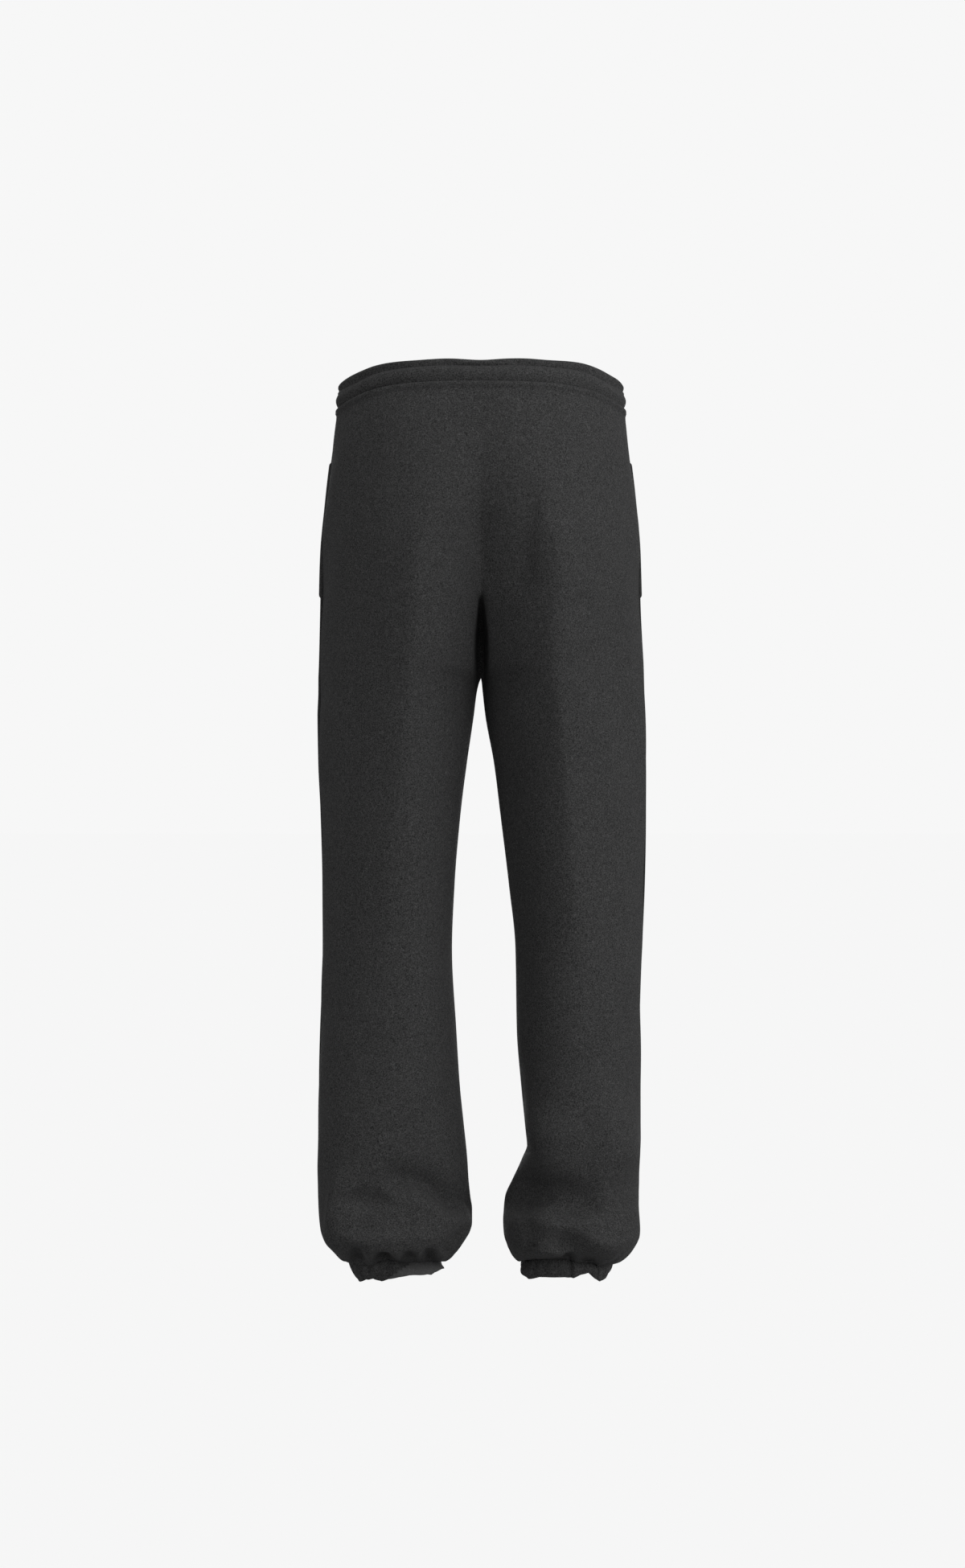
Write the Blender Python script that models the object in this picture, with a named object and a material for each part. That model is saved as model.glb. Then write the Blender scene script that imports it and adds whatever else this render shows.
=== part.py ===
"""Jogger sweatpants in worn, hollow form: every sewn piece is its own closed solid.

Run with: blender --background --python part.py
The scene is in metres with +Z up. The tables below are in millimetres.
The origin is the centre of the waist opening, level with the top of the waistband at the sides.
The seat of the trousers faces -Y, and the wearer's left leg is at -X.
"""
import math
from collections import namedtuple

import bmesh
import bpy
import numpy as np

MM = 0.001

# Cloth and seams
WALL = 2.4                  # brushed fleece
SEAM_GAP = 0.3              # clear space between pieces that are sewn together
HALF_GAP = SEAM_GAP / 2.0

# Waistband: an elastic in a fleece casing, stitched down into two rolls
BAND_HEIGHT = 28.0
BAND_THICKNESS = 6.0
BAND_BULGE = 1.5            # how far each roll stands out between two rows of stitches
BAND_LEAN = 2.0             # how far the top edge leans towards the wearer
BAND_WIDTH_TOP = 160.5      # half of the outer width across the hips at the top edge
BAND_WIDTH_SEAM = 164.0     # the same where the legs are sewn on
BAND_BACK = 114.0           # outer depth behind the side seams
BAND_FRONT = 110.0          # outer depth in front of the side seams
BAND_CORNER = 2.12          # superellipse power of the waist
BACK_RISE = 14.5            # the top edge is this much higher at the back and lower at the front
RISE_FADES_AT = -200.0      # below this height the sections are level
BAND_GROWS = 1.5            # how much deeper the band is at the seam than at the top edge
BAND_ROUND = 1.2            # how far its top edges are rounded off

# One roll: the drops below the top edge where it starts and ends, and where its face bends between them
Roll = namedtuple("Roll", "top bottom stops")
ROLLS = (
    Roll(0.0, 10.0, (0.2, 0.6)),
    Roll(10.0, BAND_HEIGHT, (0.15, 0.5, 0.85)),
)

# Legs
CROTCH_Z = -336.0
LEG_TOP = -BAND_HEIGHT - SEAM_GAP
LEG_END = -998.7
LEG_COLUMNS = 9             # faces across one panel

# The rows of faces of a leg panel, from the top down: how far each zone goes and its row height
Zone = namedtuple("Zone", "bottom row")
ROW_ZONES = (
    Zone(-250.0, 42.0),
    Zone(CROTCH_Z, 14.0),
    Zone(-862.0, 49.0),
    Zone(LEG_END, 10.6),
)

# Elastic hem casings
HEM_TOP = LEG_END - SEAM_GAP
HEM_HEIGHT = 15.5
HEM_THICKNESS = 4.0
HEM_WAVE = 2.6              # the gathered lower edge rises and falls by this much
HEM_GATHERS = 7
HEM_PUCKER = 0.7            # how far each gather stands out
HEM_SEGMENTS = 42

# The cross section of a casing: the share of the way down, and how far it stands out
Edge = namedtuple("Edge", "down stand")
HEM_PROFILE = (
    Edge(0.0, 0.0),
    Edge(0.35, 1.6),
    Edge(0.75, 1.5),
    Edge(1.0, 0.3),
    Edge(1.0, 0.6 - HEM_THICKNESS),
    Edge(0.5, -HEM_THICKNESS),
    Edge(0.0, 0.4 - HEM_THICKNESS),
)

# Side seam pockets
POCKET_TOP = -88.0
POCKET_MOUTH = 154.0
POCKET_EDGE_WIDTH = 24.0
POCKET_EDGE_WALL = 1.8
POCKET_BAG_WIDTH = 128.0
POCKET_BAG_TOP = -76.0
POCKET_BAG_BOTTOM = -306.0
POCKET_BAG_WALL = 2.0
POCKET_BAG_CLEARANCE = 0.8  # from the inside of the front panel
POCKET_BAG_FROM_SEAM = 6.0
POCKET_BAG_ROUND = 0.8      # how far the lower corner is cut back, in rows of the panel

BACK = -1
FRONT = 1
LEGS = {"left": -1, "right": 1}
RING_SAMPLES = 361

# A section is level. The out and in columns are the distances of the outer and the inner seam from the
# middle plane. Above the crotch the inner one is past that plane, so the two legs meet there on it, and
# the front has its own. The mid columns are where each back, or both fronts, are deepest. Ridge is the
# power that turns the back there and flank the power that runs it on to the seams: 2 is an ellipse, and
# less is flatter.
Section = namedtuple("Section", "z left_out left_in right_out right_in front_in left_mid right_mid "
                                "front_mid back front ridge flank")
SECTIONS = (
    Section(-28, 164, -164, 164, -164, -164, 0, 0, 0, 115.5, 111.5, 2.12, 2.12),
    Section(-75, 169.5, -120, 169.5, -124, -150, 34, 30, 14, 124, 114, 2.05, 2.0),
    Section(-129, 176, -92, 176, -92, -112, 46, 54, 50, 133, 117, 1.85, 1.75),
    Section(-190, 181, -62, 181, -56, -80, 70, 80, 75, 138, 118, 1.6, 1.42),
    Section(-240, 182, -40, 182, -34, -46, 79, 86, 82, 135.5, 116, 1.5, 1.35),
    Section(-262, 182.6, -24, 182.6, -22, -28, 82, 88, 85, 132, 114, 1.5, 1.35),
    Section(-290, 183.5, -10, 184, -9, -11, 86, 89, 88, 127.5, 111, 1.5, 1.35),
    Section(-322, 184.5, -2, 186, -2, -2, 90, 90, 90, 120.5, 107, 1.5, 1.35),
    Section(CROTCH_Z, 185, 0.6, 186.5, 0.4, 0.5, 92, 92, 92, 117.5, 105, 1.5, 1.35),
    Section(-350, 185, 4.5, 187, 2, 3, 93, 94, 93, 114, 103, 1.5, 1.35),
    Section(-377, 186, 8, 188, 5, 6, 94, 97, 95, 110, 101, 1.5, 1.35),
    Section(-432, 186, 16, 189, 15, 15, 95, 101, 98, 103, 97, 1.5, 1.35),
    Section(-488, 184, 23, 188, 22, 22, 97, 104, 100, 97, 93, 1.55, 1.38),
    Section(-570, 181, 30, 186, 32, 31, 98, 107, 102, 90, 89, 1.6, 1.45),
    Section(-644, 182, 33, 184, 39.5, 36, 100, 109, 104, 87, 86, 1.8, 1.65),
    Section(-736, 184, 28, 182, 41, 35, 104, 108, 105, 89.5, 82, 2.05, 1.95),
    Section(-800, 186, 24, 181, 46, 35, 109, 105, 106, 92.5, 80, 2.3, 2.2),
    Section(-840, 186.7, 20, 181.5, 51, 35, 113, 103, 106, 95, 81, 2.5, 2.4),
    Section(-868, 187, 17, 182.5, 53, 35, 118, 103, 105, 96, 82, 2.6, 2.5),
    Section(-884, 187, 15.5, 182.5, 47, 31, 121, 103, 105, 96, 84, 2.65, 2.55),
    Section(-905, 186, 14, 182.5, 37, 25, 124, 103, 104, 95.5, 86, 2.75, 2.65),
    Section(-925, 185, 12, 182, 28, 20, 127, 103, 102, 97, 88, 2.9, 2.8),
    Section(-942, 184, 10, 181, 26, 18, 128, 103, 101, 100, 88, 3.0, 2.9),
    Section(-957, 182, 10, 180.8, 25.5, 18, 128, 102, 101, 102, 87, 3.0, 2.9),
    Section(-966, 179, 12.5, 180, 26, 19, 125, 101.5, 101, 101, 85, 2.9, 2.8),
    Section(-975, 174.5, 17, 177.5, 27.5, 21.5, 120, 101, 100.5, 95, 81, 2.7, 2.6),
    Section(-985, 168, 24, 172, 31, 27, 110, 100, 100, 80, 74, 2.4, 2.35),
    Section(-993, 162.5, 31, 165, 36, 34, 103, 99, 99, 67, 65, 2.2, 2.2),
    Section(-998.7, 154, 44, 154, 45, 44, 99, 99, 99, 56, 57, 2.1, 2.1),
)
FRONT_POWER = 2.15          # both powers of the front

# A fold is a soft trough or ridge placed by the height and the distance from the middle plane of its
# centre. Its length runs along the tilt, which is in degrees up from level, above and below are how wide
# it is on each side of that line, and a depth above 0 is a ridge.
Fold = namedtuple("Fold", "leg face x z length above below tilt depth")
FOLD_SHARPNESS = 1.4
FOLDS_END_ABOVE_HEM = 8.0
FOLDS_END_AT_SEAMS = 22.0
FOLDS = (
    Fold("left", BACK, 76, -901, 60, 17, 12, 5, -12),
    Fold("left", BACK, 43, -917, 60, 17, 12, 40, -13),
    Fold("left", BACK, 124, -918, 50, 19, 12, 4, -7.5),
    Fold("right", BACK, 104, -915, 70, 42, 12, 6, -20),
    Fold("right", BACK, 54, -927, 56, 40, 12, 24, -18),
    Fold("right", BACK, 110, -967, 56, 10, 18, -20, -10),
    Fold("left", FRONT, 112, -905, 110, 18, 14, 8, -7),
    Fold("left", FRONT, 60, -928, 70, 12, 12, -24, -5),
    Fold("right", FRONT, 92, -908, 104, 20, 12, -10, -8),
    Fold("right", FRONT, 116, -936, 80, 12, 12, 8, -4.5),
)

# Each hem casing: half width and half depth at the seam with the leg, and at the lower edge
Hem = namedtuple("Hem", "centre half_width half_depth lower_half_width lower_half_depth turn")
HEMS = {
    "left": Hem(98.5, 52.5, 55.0, 48.0, 51.0, 0.3),
    "right": Hem(98.5, 52.0, 55.0, 48.5, 51.0, 1.7),
}

CHARCOAL = (0.033, 0.033, 0.034)
POCKETING = (0.024, 0.024, 0.026)


# ---- small helpers ----

def smoothstep(edge_low, edge_high, value):
    """0 at edge_low, 1 at edge_high, with level ends."""
    share = np.clip((value - edge_low) / (edge_high - edge_low), 0.0, 1.0)
    return share * share * (3.0 - 2.0 * share)


def level_slopes(knots, values):
    """Slopes for a cubic through the values that never overshoots them."""
    steps = np.diff(knots)
    rates = np.diff(values) / steps
    slopes = np.zeros(len(knots))
    slopes[0] = rates[0]
    slopes[-1] = rates[-1]
    for index in range(1, len(knots) - 1):
        before, after = rates[index - 1], rates[index]
        if before * after > 0.0:
            slopes[index] = 2.0 * before * after / (before + after)
    return slopes


KNOTS = np.array([-section.z for section in SECTIONS], float)
COLUMNS = {
    name: np.array([getattr(section, name) for section in SECTIONS], float)
    for name in Section._fields if name != "z"
}
SLOPES = {name: level_slopes(KNOTS, values) for name, values in COLUMNS.items()}


def column_at(name, z):
    """One column of the section table at any height."""
    drop = min(max(-z, KNOTS[0]), KNOTS[-1])
    index = int(np.searchsorted(KNOTS, drop, side="right")) - 1
    index = min(max(index, 0), len(KNOTS) - 2)
    step = KNOTS[index + 1] - KNOTS[index]
    share = (drop - KNOTS[index]) / step
    values, slopes = COLUMNS[name], SLOPES[name]
    low = (1 + 2 * share) * (1 - share) ** 2 * values[index]
    low += share * (1 - share) ** 2 * step * slopes[index]
    high = share ** 2 * (3 - 2 * share) * values[index + 1]
    high += share ** 2 * (share - 1) * step * slopes[index + 1]
    return low + high


def superellipse(centre, reach_out, reach_in, depth, ridge, flank, angles):
    """Points of a level curve with its own reach on each side, as x and y arrays.

    Ridge is the power where it is deepest and flank the power towards its sides.
    """
    cosine, sine = np.cos(angles), np.sin(angles)
    reach = np.where(cosine >= 0.0, reach_out, reach_in)
    x = centre + reach * np.sign(cosine) * np.abs(cosine) ** (2.0 / ridge)
    y = depth * np.sign(sine) * np.abs(sine) ** (2.0 / flank)
    return x, y


def walk(x, y, distances):
    """Points at the given distances along a polyline."""
    lengths = np.concatenate(([0.0], np.cumsum(np.hypot(np.diff(x), np.diff(y)))))
    return np.interp(distances, lengths, x), np.interp(distances, lengths, y)


def polyline_length(x, y):
    return float(np.hypot(np.diff(x), np.diff(y)).sum())


def rise(y, depth, z):
    """How far the cloth at depth y is lifted, because the waist is higher at the back."""
    share = np.clip(np.abs(y) / depth, 0.0, 1.0)
    fade = smoothstep(RISE_FADES_AT, LEG_TOP, z)
    return -np.sign(y) * BACK_RISE * np.sin(share * math.pi / 2.0) * fade


# ---- the surface of a leg ----

def half_section(leg, face, z):
    """One face of a leg at a height: x and y from the side seam to the rise seam or the inseam."""
    out = column_at(leg + "_out", z)
    inner = column_at(leg + "_in", z)
    mid = column_at(leg + "_mid", z)
    if face == BACK:
        depth, ridge, flank = column_at("back", z), column_at("ridge", z), column_at("flank", z)
    else:
        mid = column_at("front_mid", z)
        depth, ridge, flank = column_at("front", z), FRONT_POWER, FRONT_POWER
        if z > CROTCH_Z:
            inner = column_at("front_in", z)
    angles = np.linspace(0.0, math.pi, RING_SAMPLES)
    x, y = superellipse(mid, out - mid, mid - inner, depth, ridge, flank, angles)
    if inner < HALF_GAP:
        last = int(np.argmax(x < HALF_GAP))
        share = (x[last - 1] - HALF_GAP) / (x[last - 1] - x[last])
        end_y = y[last - 1] + share * (y[last] - y[last - 1])
        x = np.append(x[:last], HALF_GAP)
        y = np.append(y[:last], end_y)
        end_trim = 0.0
    else:
        end_trim = HALF_GAP
    return x, face * y, depth, end_trim


def keep_on_side(face, points):
    """Move points that would pass the middle plane or the plane of the side seams back to their side."""
    points[..., 0] = np.maximum(points[..., 0], HALF_GAP)
    points[..., 1] = face * np.maximum(face * points[..., 1], HALF_GAP)
    return points


def face_points(leg, face, z, shares):
    """Points of the cloth's outside at a height, where a share of 0 is the side seam."""
    x, y, depth, end_trim = half_section(leg, face, z)
    length = polyline_length(x, y)
    distances = HALF_GAP + np.asarray(shares) * (length - HALF_GAP - end_trim)
    x, y = walk(x, y, distances)
    return np.stack([x, y, z + rise(y, depth, z)], axis=-1)


def fold_depth(leg, face, points):
    """How far the folds move each point outwards."""
    total = np.zeros(points.shape[:-1])
    for fold in FOLDS:
        if fold.leg != leg or fold.face != face:
            continue
        tilt = math.radians(fold.tilt)
        across = points[..., 0] - fold.x
        up = points[..., 2] - fold.z
        along = across * math.cos(tilt) + up * math.sin(tilt)
        aside = up * math.cos(tilt) - across * math.sin(tilt)
        width = np.where(aside > 0.0, fold.above, fold.below)
        reach = (along / (fold.length / 2.0)) ** 4 + (aside / width) ** 2
        total += fold.depth * np.exp(-reach * FOLD_SHARPNESS)
    return total


def panel_surface(leg, face, heights, shares):
    """Outside points and outward normals of a patch of cloth, on the side of positive x."""
    nudge_z = 1.0
    nudge_share = 0.004
    points, normals, fades = [], [], []
    for z in heights:
        here = face_points(leg, face, z, shares)
        above = face_points(leg, face, min(z + nudge_z, LEG_TOP), shares)
        below = face_points(leg, face, max(z - nudge_z, LEG_END), shares)
        ahead = face_points(leg, face, z, np.minimum(shares + nudge_share, 1.0))
        behind = face_points(leg, face, z, np.maximum(shares - nudge_share, 0.0))
        normal = np.cross(ahead - behind, above - below) * face
        normal /= np.linalg.norm(normal, axis=-1, keepdims=True)
        x, y, _, _ = half_section(leg, face, z)
        to_seam = np.minimum(shares, 1.0 - shares) * polyline_length(x, y)
        points.append(here)
        normals.append(normal)
        fades.append(smoothstep(0.0, FOLDS_END_AT_SEAMS, to_seam))
    points, normals = np.array(points), np.array(normals)
    fade = np.array(fades) * smoothstep(0.0, FOLDS_END_ABOVE_HEM, points[..., 2] - LEG_END)
    points = points + normals * (fold_depth(leg, face, points) * fade)[..., None]
    return keep_on_side(face, points), normals


# ---- meshes ----

def cloth_material(name, colour, roughness):
    material = bpy.data.materials.new(name)
    material.use_nodes = True
    shader = material.node_tree.nodes["Principled BSDF"]
    shader.inputs["Base Color"].default_value = (*colour, 1.0)
    shader.inputs["Roughness"].default_value = roughness
    shader.inputs["Metallic"].default_value = 0.0
    return material


def add_object(name, builder, colour, roughness, parent):
    """Turn a bmesh in millimetres into a named object with its own material."""
    bmesh.ops.recalc_face_normals(builder, faces=builder.faces)
    bmesh.ops.scale(builder, vec=(MM, MM, MM), verts=builder.verts)
    mesh = bpy.data.meshes.new(name)
    builder.to_mesh(mesh)
    builder.free()
    mesh.shade_smooth()
    mesh.set_sharp_from_angle(angle=math.radians(50.0))
    mesh.materials.append(cloth_material(name + "_cloth", colour, roughness))
    item = bpy.data.objects.new(name, mesh)
    bpy.context.collection.objects.link(item)
    item.parent = parent
    return item


def wall_from_grids(outside, inside, mirror):
    """A closed wall between two grids of points with open edges."""
    builder = bmesh.new()
    scale = np.array([mirror, 1.0, 1.0])
    rows, columns = outside.shape[:2]
    outer = [[builder.verts.new(point * scale) for point in row] for row in outside]
    inner = [[builder.verts.new(point * scale) for point in row] for row in inside]
    for row in range(rows - 1):
        for column in range(columns - 1):
            for grid in (outer, inner):
                builder.faces.new((grid[row][column], grid[row][column + 1], grid[row + 1][column + 1]))
                builder.faces.new((grid[row][column], grid[row + 1][column + 1], grid[row + 1][column]))
    rim = [(0, column) for column in range(columns)]
    rim += [(row, columns - 1) for row in range(1, rows)]
    rim += [(rows - 1, column) for column in range(columns - 2, -1, -1)]
    rim += [(row, 0) for row in range(rows - 2, 0, -1)]
    for start, end in zip(rim, rim[1:] + rim[:1]):
        builder.faces.new((outer[start[0]][start[1]], outer[end[0]][end[1]],
                           inner[end[0]][end[1]], inner[start[0]][start[1]]))
    return builder


def ring_from_loops(loops):
    """A closed ring whose cross section is the list of loops, all with the same number of points."""
    builder = bmesh.new()
    lines = [[builder.verts.new(point) for point in loop] for loop in loops]
    count = len(loops[0])
    for near, far in zip(lines, lines[1:] + lines[:1]):
        for index in range(count):
            after = (index + 1) % count
            builder.faces.new((near[index], near[after], far[after], far[index]))
    return builder


# ---- the pieces ----

def row_heights():
    """Heights of the rows of a leg panel, closer round the crotch and in the fullness over the hem."""
    heights = [LEG_TOP]
    for zone in ROW_ZONES:
        count = math.ceil((heights[-1] - zone.bottom) / zone.row)
        heights.extend(np.linspace(heights[-1], zone.bottom, count + 1)[1:])
    return np.array(heights)


def panel_grid(leg, face):
    """The outside points and normals of a whole leg panel."""
    heights = row_heights()
    shares = np.linspace(0.0, 1.0, LEG_COLUMNS + 1)
    return heights, *panel_surface(leg, face, heights, shares)


def make_leg_panel(name, leg, face, parent):
    heights, outside, normals = panel_grid(leg, face)
    inside = keep_on_side(face, outside - normals * WALL)
    return add_object(name, wall_from_grids(outside, inside, LEGS[leg]), CHARCOAL, 0.9, parent)


def stops_between(start, end):
    """The start, the whole numbers between that aren't too near either end, and the end."""
    least = 0.15
    whole = range(math.ceil(start), math.floor(end) + 1)
    return [start] + [stop for stop in whole if start + least < stop < end - least] + [end]


def on_grid(grid, row, column):
    """A value between the rows and the columns of a grid."""
    low_row = min(int(row), grid.shape[0] - 2)
    low_column = min(int(column), grid.shape[1] - 2)
    down, across = row - low_row, column - low_column
    upper = grid[low_row, low_column] * (1 - across) + grid[low_row, low_column + 1] * across
    lower = grid[low_row + 1, low_column] * (1 - across) + grid[low_row + 1, low_column + 1] * across
    return upper * (1 - down) + lower * down


def front_patch(leg, top, bottom, start_width, end_width, round_corner):
    """Points and normals of the front panel between two heights and two distances from the side seam.

    Its rows and columns are the panel's own, so that a piece made from it lies flat on the panel.
    """
    heights, points, normals = panel_grid(leg, FRONT)
    x, y, _, _ = half_section(leg, FRONT, (top + bottom) / 2.0)
    column_width = polyline_length(x, y) / LEG_COLUMNS
    first_row = float(np.interp(-top, -heights, np.arange(len(heights))))
    last_row = float(np.interp(-bottom, -heights, np.arange(len(heights))))
    rows = stops_between(first_row, last_row)
    columns = stops_between(start_width / column_width, end_width / column_width)
    patch_points, patch_normals = [], []
    for row in rows:
        line, directions = [], []
        for column in columns:
            lift = round_corner * (column / columns[-1]) ** 4 if row == rows[-1] else 0.0
            line.append(on_grid(points, row - lift, column))
            directions.append(on_grid(normals, row - lift, column))
        patch_points.append(line)
        patch_normals.append(directions)
    return np.array(patch_points), np.array(patch_normals)


def make_pocket_edge(name, leg, parent):
    """The turned and topstitched mouth of the pocket, lying on the front panel along the side seam."""
    panel, normals = front_patch(leg, POCKET_TOP, POCKET_TOP - POCKET_MOUTH, 0.0, POCKET_EDGE_WIDTH, 0.0)
    inside = panel + normals * SEAM_GAP
    outside = inside + normals * POCKET_EDGE_WALL
    return add_object(name, wall_from_grids(outside, inside, LEGS[leg]), CHARCOAL, 0.9, parent)


def make_pocket_bag(name, leg, parent):
    """Two flat layers of pocketing behind the front panel, with a rounded lower corner."""
    panel, normals = front_patch(leg, POCKET_BAG_TOP, POCKET_BAG_BOTTOM,
                                 POCKET_BAG_FROM_SEAM, POCKET_BAG_WIDTH, POCKET_BAG_ROUND)
    outside = panel - normals * (WALL + POCKET_BAG_CLEARANCE)
    inside = outside - normals * POCKET_BAG_WALL
    return add_object(name, wall_from_grids(outside, inside, LEGS[leg]), POCKETING, 0.85, parent)


def waist_quarter(half_width, depth, face):
    """Points from one side seam to the middle of the back or front, two for each column of a leg panel."""
    angles = np.linspace(0.0, math.pi / 2.0, RING_SAMPLES)
    x, y = superellipse(0.0, half_width, half_width, depth, BAND_CORNER, BAND_CORNER, angles)
    stops = np.linspace(0.0, polyline_length(x, y), 2 * LEG_COLUMNS + 1)
    x, y = walk(x, y, stops)
    return np.stack([x, face * y], axis=-1)


def waist_ring(half_width, back, front):
    """Points all round the waist and their level outward directions."""
    rear = waist_quarter(half_width, back, BACK)
    fore = waist_quarter(half_width, front, FRONT)
    mirror = np.array([-1.0, 1.0])
    ring = np.concatenate((rear[:-1], (rear * mirror)[:0:-1], (fore * mirror)[:-1], fore[:0:-1]))
    along = np.roll(ring, -1, axis=0) - np.roll(ring, 1, axis=0)
    along /= np.linalg.norm(along, axis=-1, keepdims=True)
    return ring, np.stack([-along[:, 1], along[:, 0]], axis=-1)


def waistband_profile():
    """The cross section as drops below the top edge with how far each stands out."""
    profile = [(0.0, -BAND_ROUND)]
    for roll in ROLLS:
        for stop in roll.stops:
            drop = roll.top + (roll.bottom - roll.top) * stop
            profile.append((drop, BAND_BULGE * math.sin(math.pi * stop) ** 0.6))
        profile.append((roll.bottom, 0.0))
    profile.append((BAND_HEIGHT, -BAND_THICKNESS))
    profile.append((2.0 * BAND_ROUND, -BAND_THICKNESS))
    profile.append((0.0, BAND_ROUND - BAND_THICKNESS))
    return profile


def make_waistband(parent):
    loops = []
    for drop, stand in waistband_profile():
        down = drop / BAND_HEIGHT
        half_width = BAND_WIDTH_TOP + (BAND_WIDTH_SEAM - BAND_WIDTH_TOP) * down
        lean = BAND_LEAN * (1.0 - down) ** 2
        back = BAND_BACK + BAND_GROWS * down - lean
        front = BAND_FRONT + BAND_GROWS * down - lean
        ring, outward = waist_ring(half_width, back, front)
        level = ring + outward * stand
        depth = np.where(ring[:, 1] < 0.0, back, front)
        z = -drop + rise(ring[:, 1], depth, LEG_TOP)
        loops.append(np.stack([level[:, 0], level[:, 1], z], axis=-1))
    return add_object("waistband", ring_from_loops(loops), CHARCOAL, 0.9, parent)


def make_hem_casing(name, leg, parent):
    """The gathered elastic casing: a ring whose lower edge is drawn up into waves."""
    hem = HEMS[leg]
    angles = np.linspace(0.0, 2.0 * math.pi, HEM_SEGMENTS, endpoint=False)
    wave = np.cos(HEM_GATHERS * angles + hem.turn) + 0.5 * np.cos(3 * angles + 2.0 * hem.turn)
    pucker = np.cos(2 * HEM_GATHERS * angles + hem.turn)
    loops = []
    for down, stand in HEM_PROFILE:
        half_width = hem.half_width + (hem.lower_half_width - hem.half_width) * down + stand
        half_depth = hem.half_depth + (hem.lower_half_depth - hem.half_depth) * down + stand
        gather = HEM_PUCKER * 4.0 * down * (1.0 - down) * pucker
        x = LEGS[leg] * hem.centre + (half_width + gather) * np.cos(angles)
        y = (half_depth + gather) * np.sin(angles)
        z = HEM_TOP - HEM_HEIGHT * down + HEM_WAVE * wave * down
        loops.append(np.stack([x, y, z], axis=-1))
    return add_object(name, ring_from_loops(loops), CHARCOAL, 0.9, parent)


def main():
    for item in list(bpy.data.objects):
        bpy.data.objects.remove(item, do_unlink=True)
    sweatpants = bpy.data.objects.new("jogger_sweatpants", None)
    bpy.context.collection.objects.link(sweatpants)
    make_waistband(sweatpants)
    for leg in LEGS:
        make_leg_panel("back_leg_" + leg, leg, BACK, sweatpants)
        make_leg_panel("front_leg_" + leg, leg, FRONT, sweatpants)
        make_hem_casing("hem_casing_" + leg, leg, sweatpants)
        make_pocket_edge("pocket_edge_" + leg, leg, sweatpants)
        make_pocket_bag("pocket_bag_" + leg, leg, sweatpants)


main()
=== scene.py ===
# Jogger sweatpants in worn, hollow form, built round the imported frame. Tables are in millimetres.
import math
from functools import partial

import bpy
import numpy as np
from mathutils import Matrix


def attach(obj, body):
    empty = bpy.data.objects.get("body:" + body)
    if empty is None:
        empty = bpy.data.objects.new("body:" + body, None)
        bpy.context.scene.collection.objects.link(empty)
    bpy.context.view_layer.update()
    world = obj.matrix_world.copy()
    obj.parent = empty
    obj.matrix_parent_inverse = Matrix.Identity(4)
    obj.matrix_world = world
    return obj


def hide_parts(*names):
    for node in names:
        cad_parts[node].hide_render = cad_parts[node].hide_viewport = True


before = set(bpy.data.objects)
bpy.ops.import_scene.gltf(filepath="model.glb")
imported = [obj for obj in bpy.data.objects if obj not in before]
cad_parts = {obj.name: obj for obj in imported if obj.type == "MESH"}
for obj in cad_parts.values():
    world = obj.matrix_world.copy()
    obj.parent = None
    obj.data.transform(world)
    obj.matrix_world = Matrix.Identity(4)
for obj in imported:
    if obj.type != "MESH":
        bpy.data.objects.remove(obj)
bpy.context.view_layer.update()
print("frame loaded with", len(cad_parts), "nodes")

mm = 0.001
fullTurn = 2.0 * math.pi
tiny = 1e-9
onPlane = 0.001                # nearer to the middle plane than this is on it
back, front = -1, 1            # the seat faces -Y
legSides = {"left": -1, "right": 1}
otherLeg = {"left": "right", "right": "left"}

cloth = {
    "wall": 2.4,
    "seamDip": 0.35,           # how far the cloth sinks towards a seam
    "seamDipWidth": 2.2,
    "dipFades": 14.0,          # below the waistband's seam
    "riseDip": 0.12,           # share of that dip on the rise seam, which lies nearly level
    "riseDipFrom": -80.0,
    "riseDipFades": 50.0,
    "inseamDipFades": 40.0,
    "sharpFrom": 55.0,         # degrees between faces
}

legs = {
    "top": -28.3,
    "end": -998.7,
    "riseAtWaist": 14.5,       # the waist is this much higher at the back and lower at the front
    "riseOfSeam": 2.8,         # and its seam this much more at the back
    "riseFades": -200.0,
    "riseFrom": 0.2,           # share of the depth at the sides where the seam stays level
    "columns": 74,
    "nearSeam": (0.0, 0.7, 1.5, 2.5, 3.8, 5.6),
    "sectionSteps": 721,
}
rowZones = (                   # how far down each zone of rows goes, and the row height there
    (-50.0, 1.0),
    (-225.0, 5.0),
    (-352.0, 2.5),
    (-860.0, 6.0),
    (legs["end"], 1.5),
)

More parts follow.
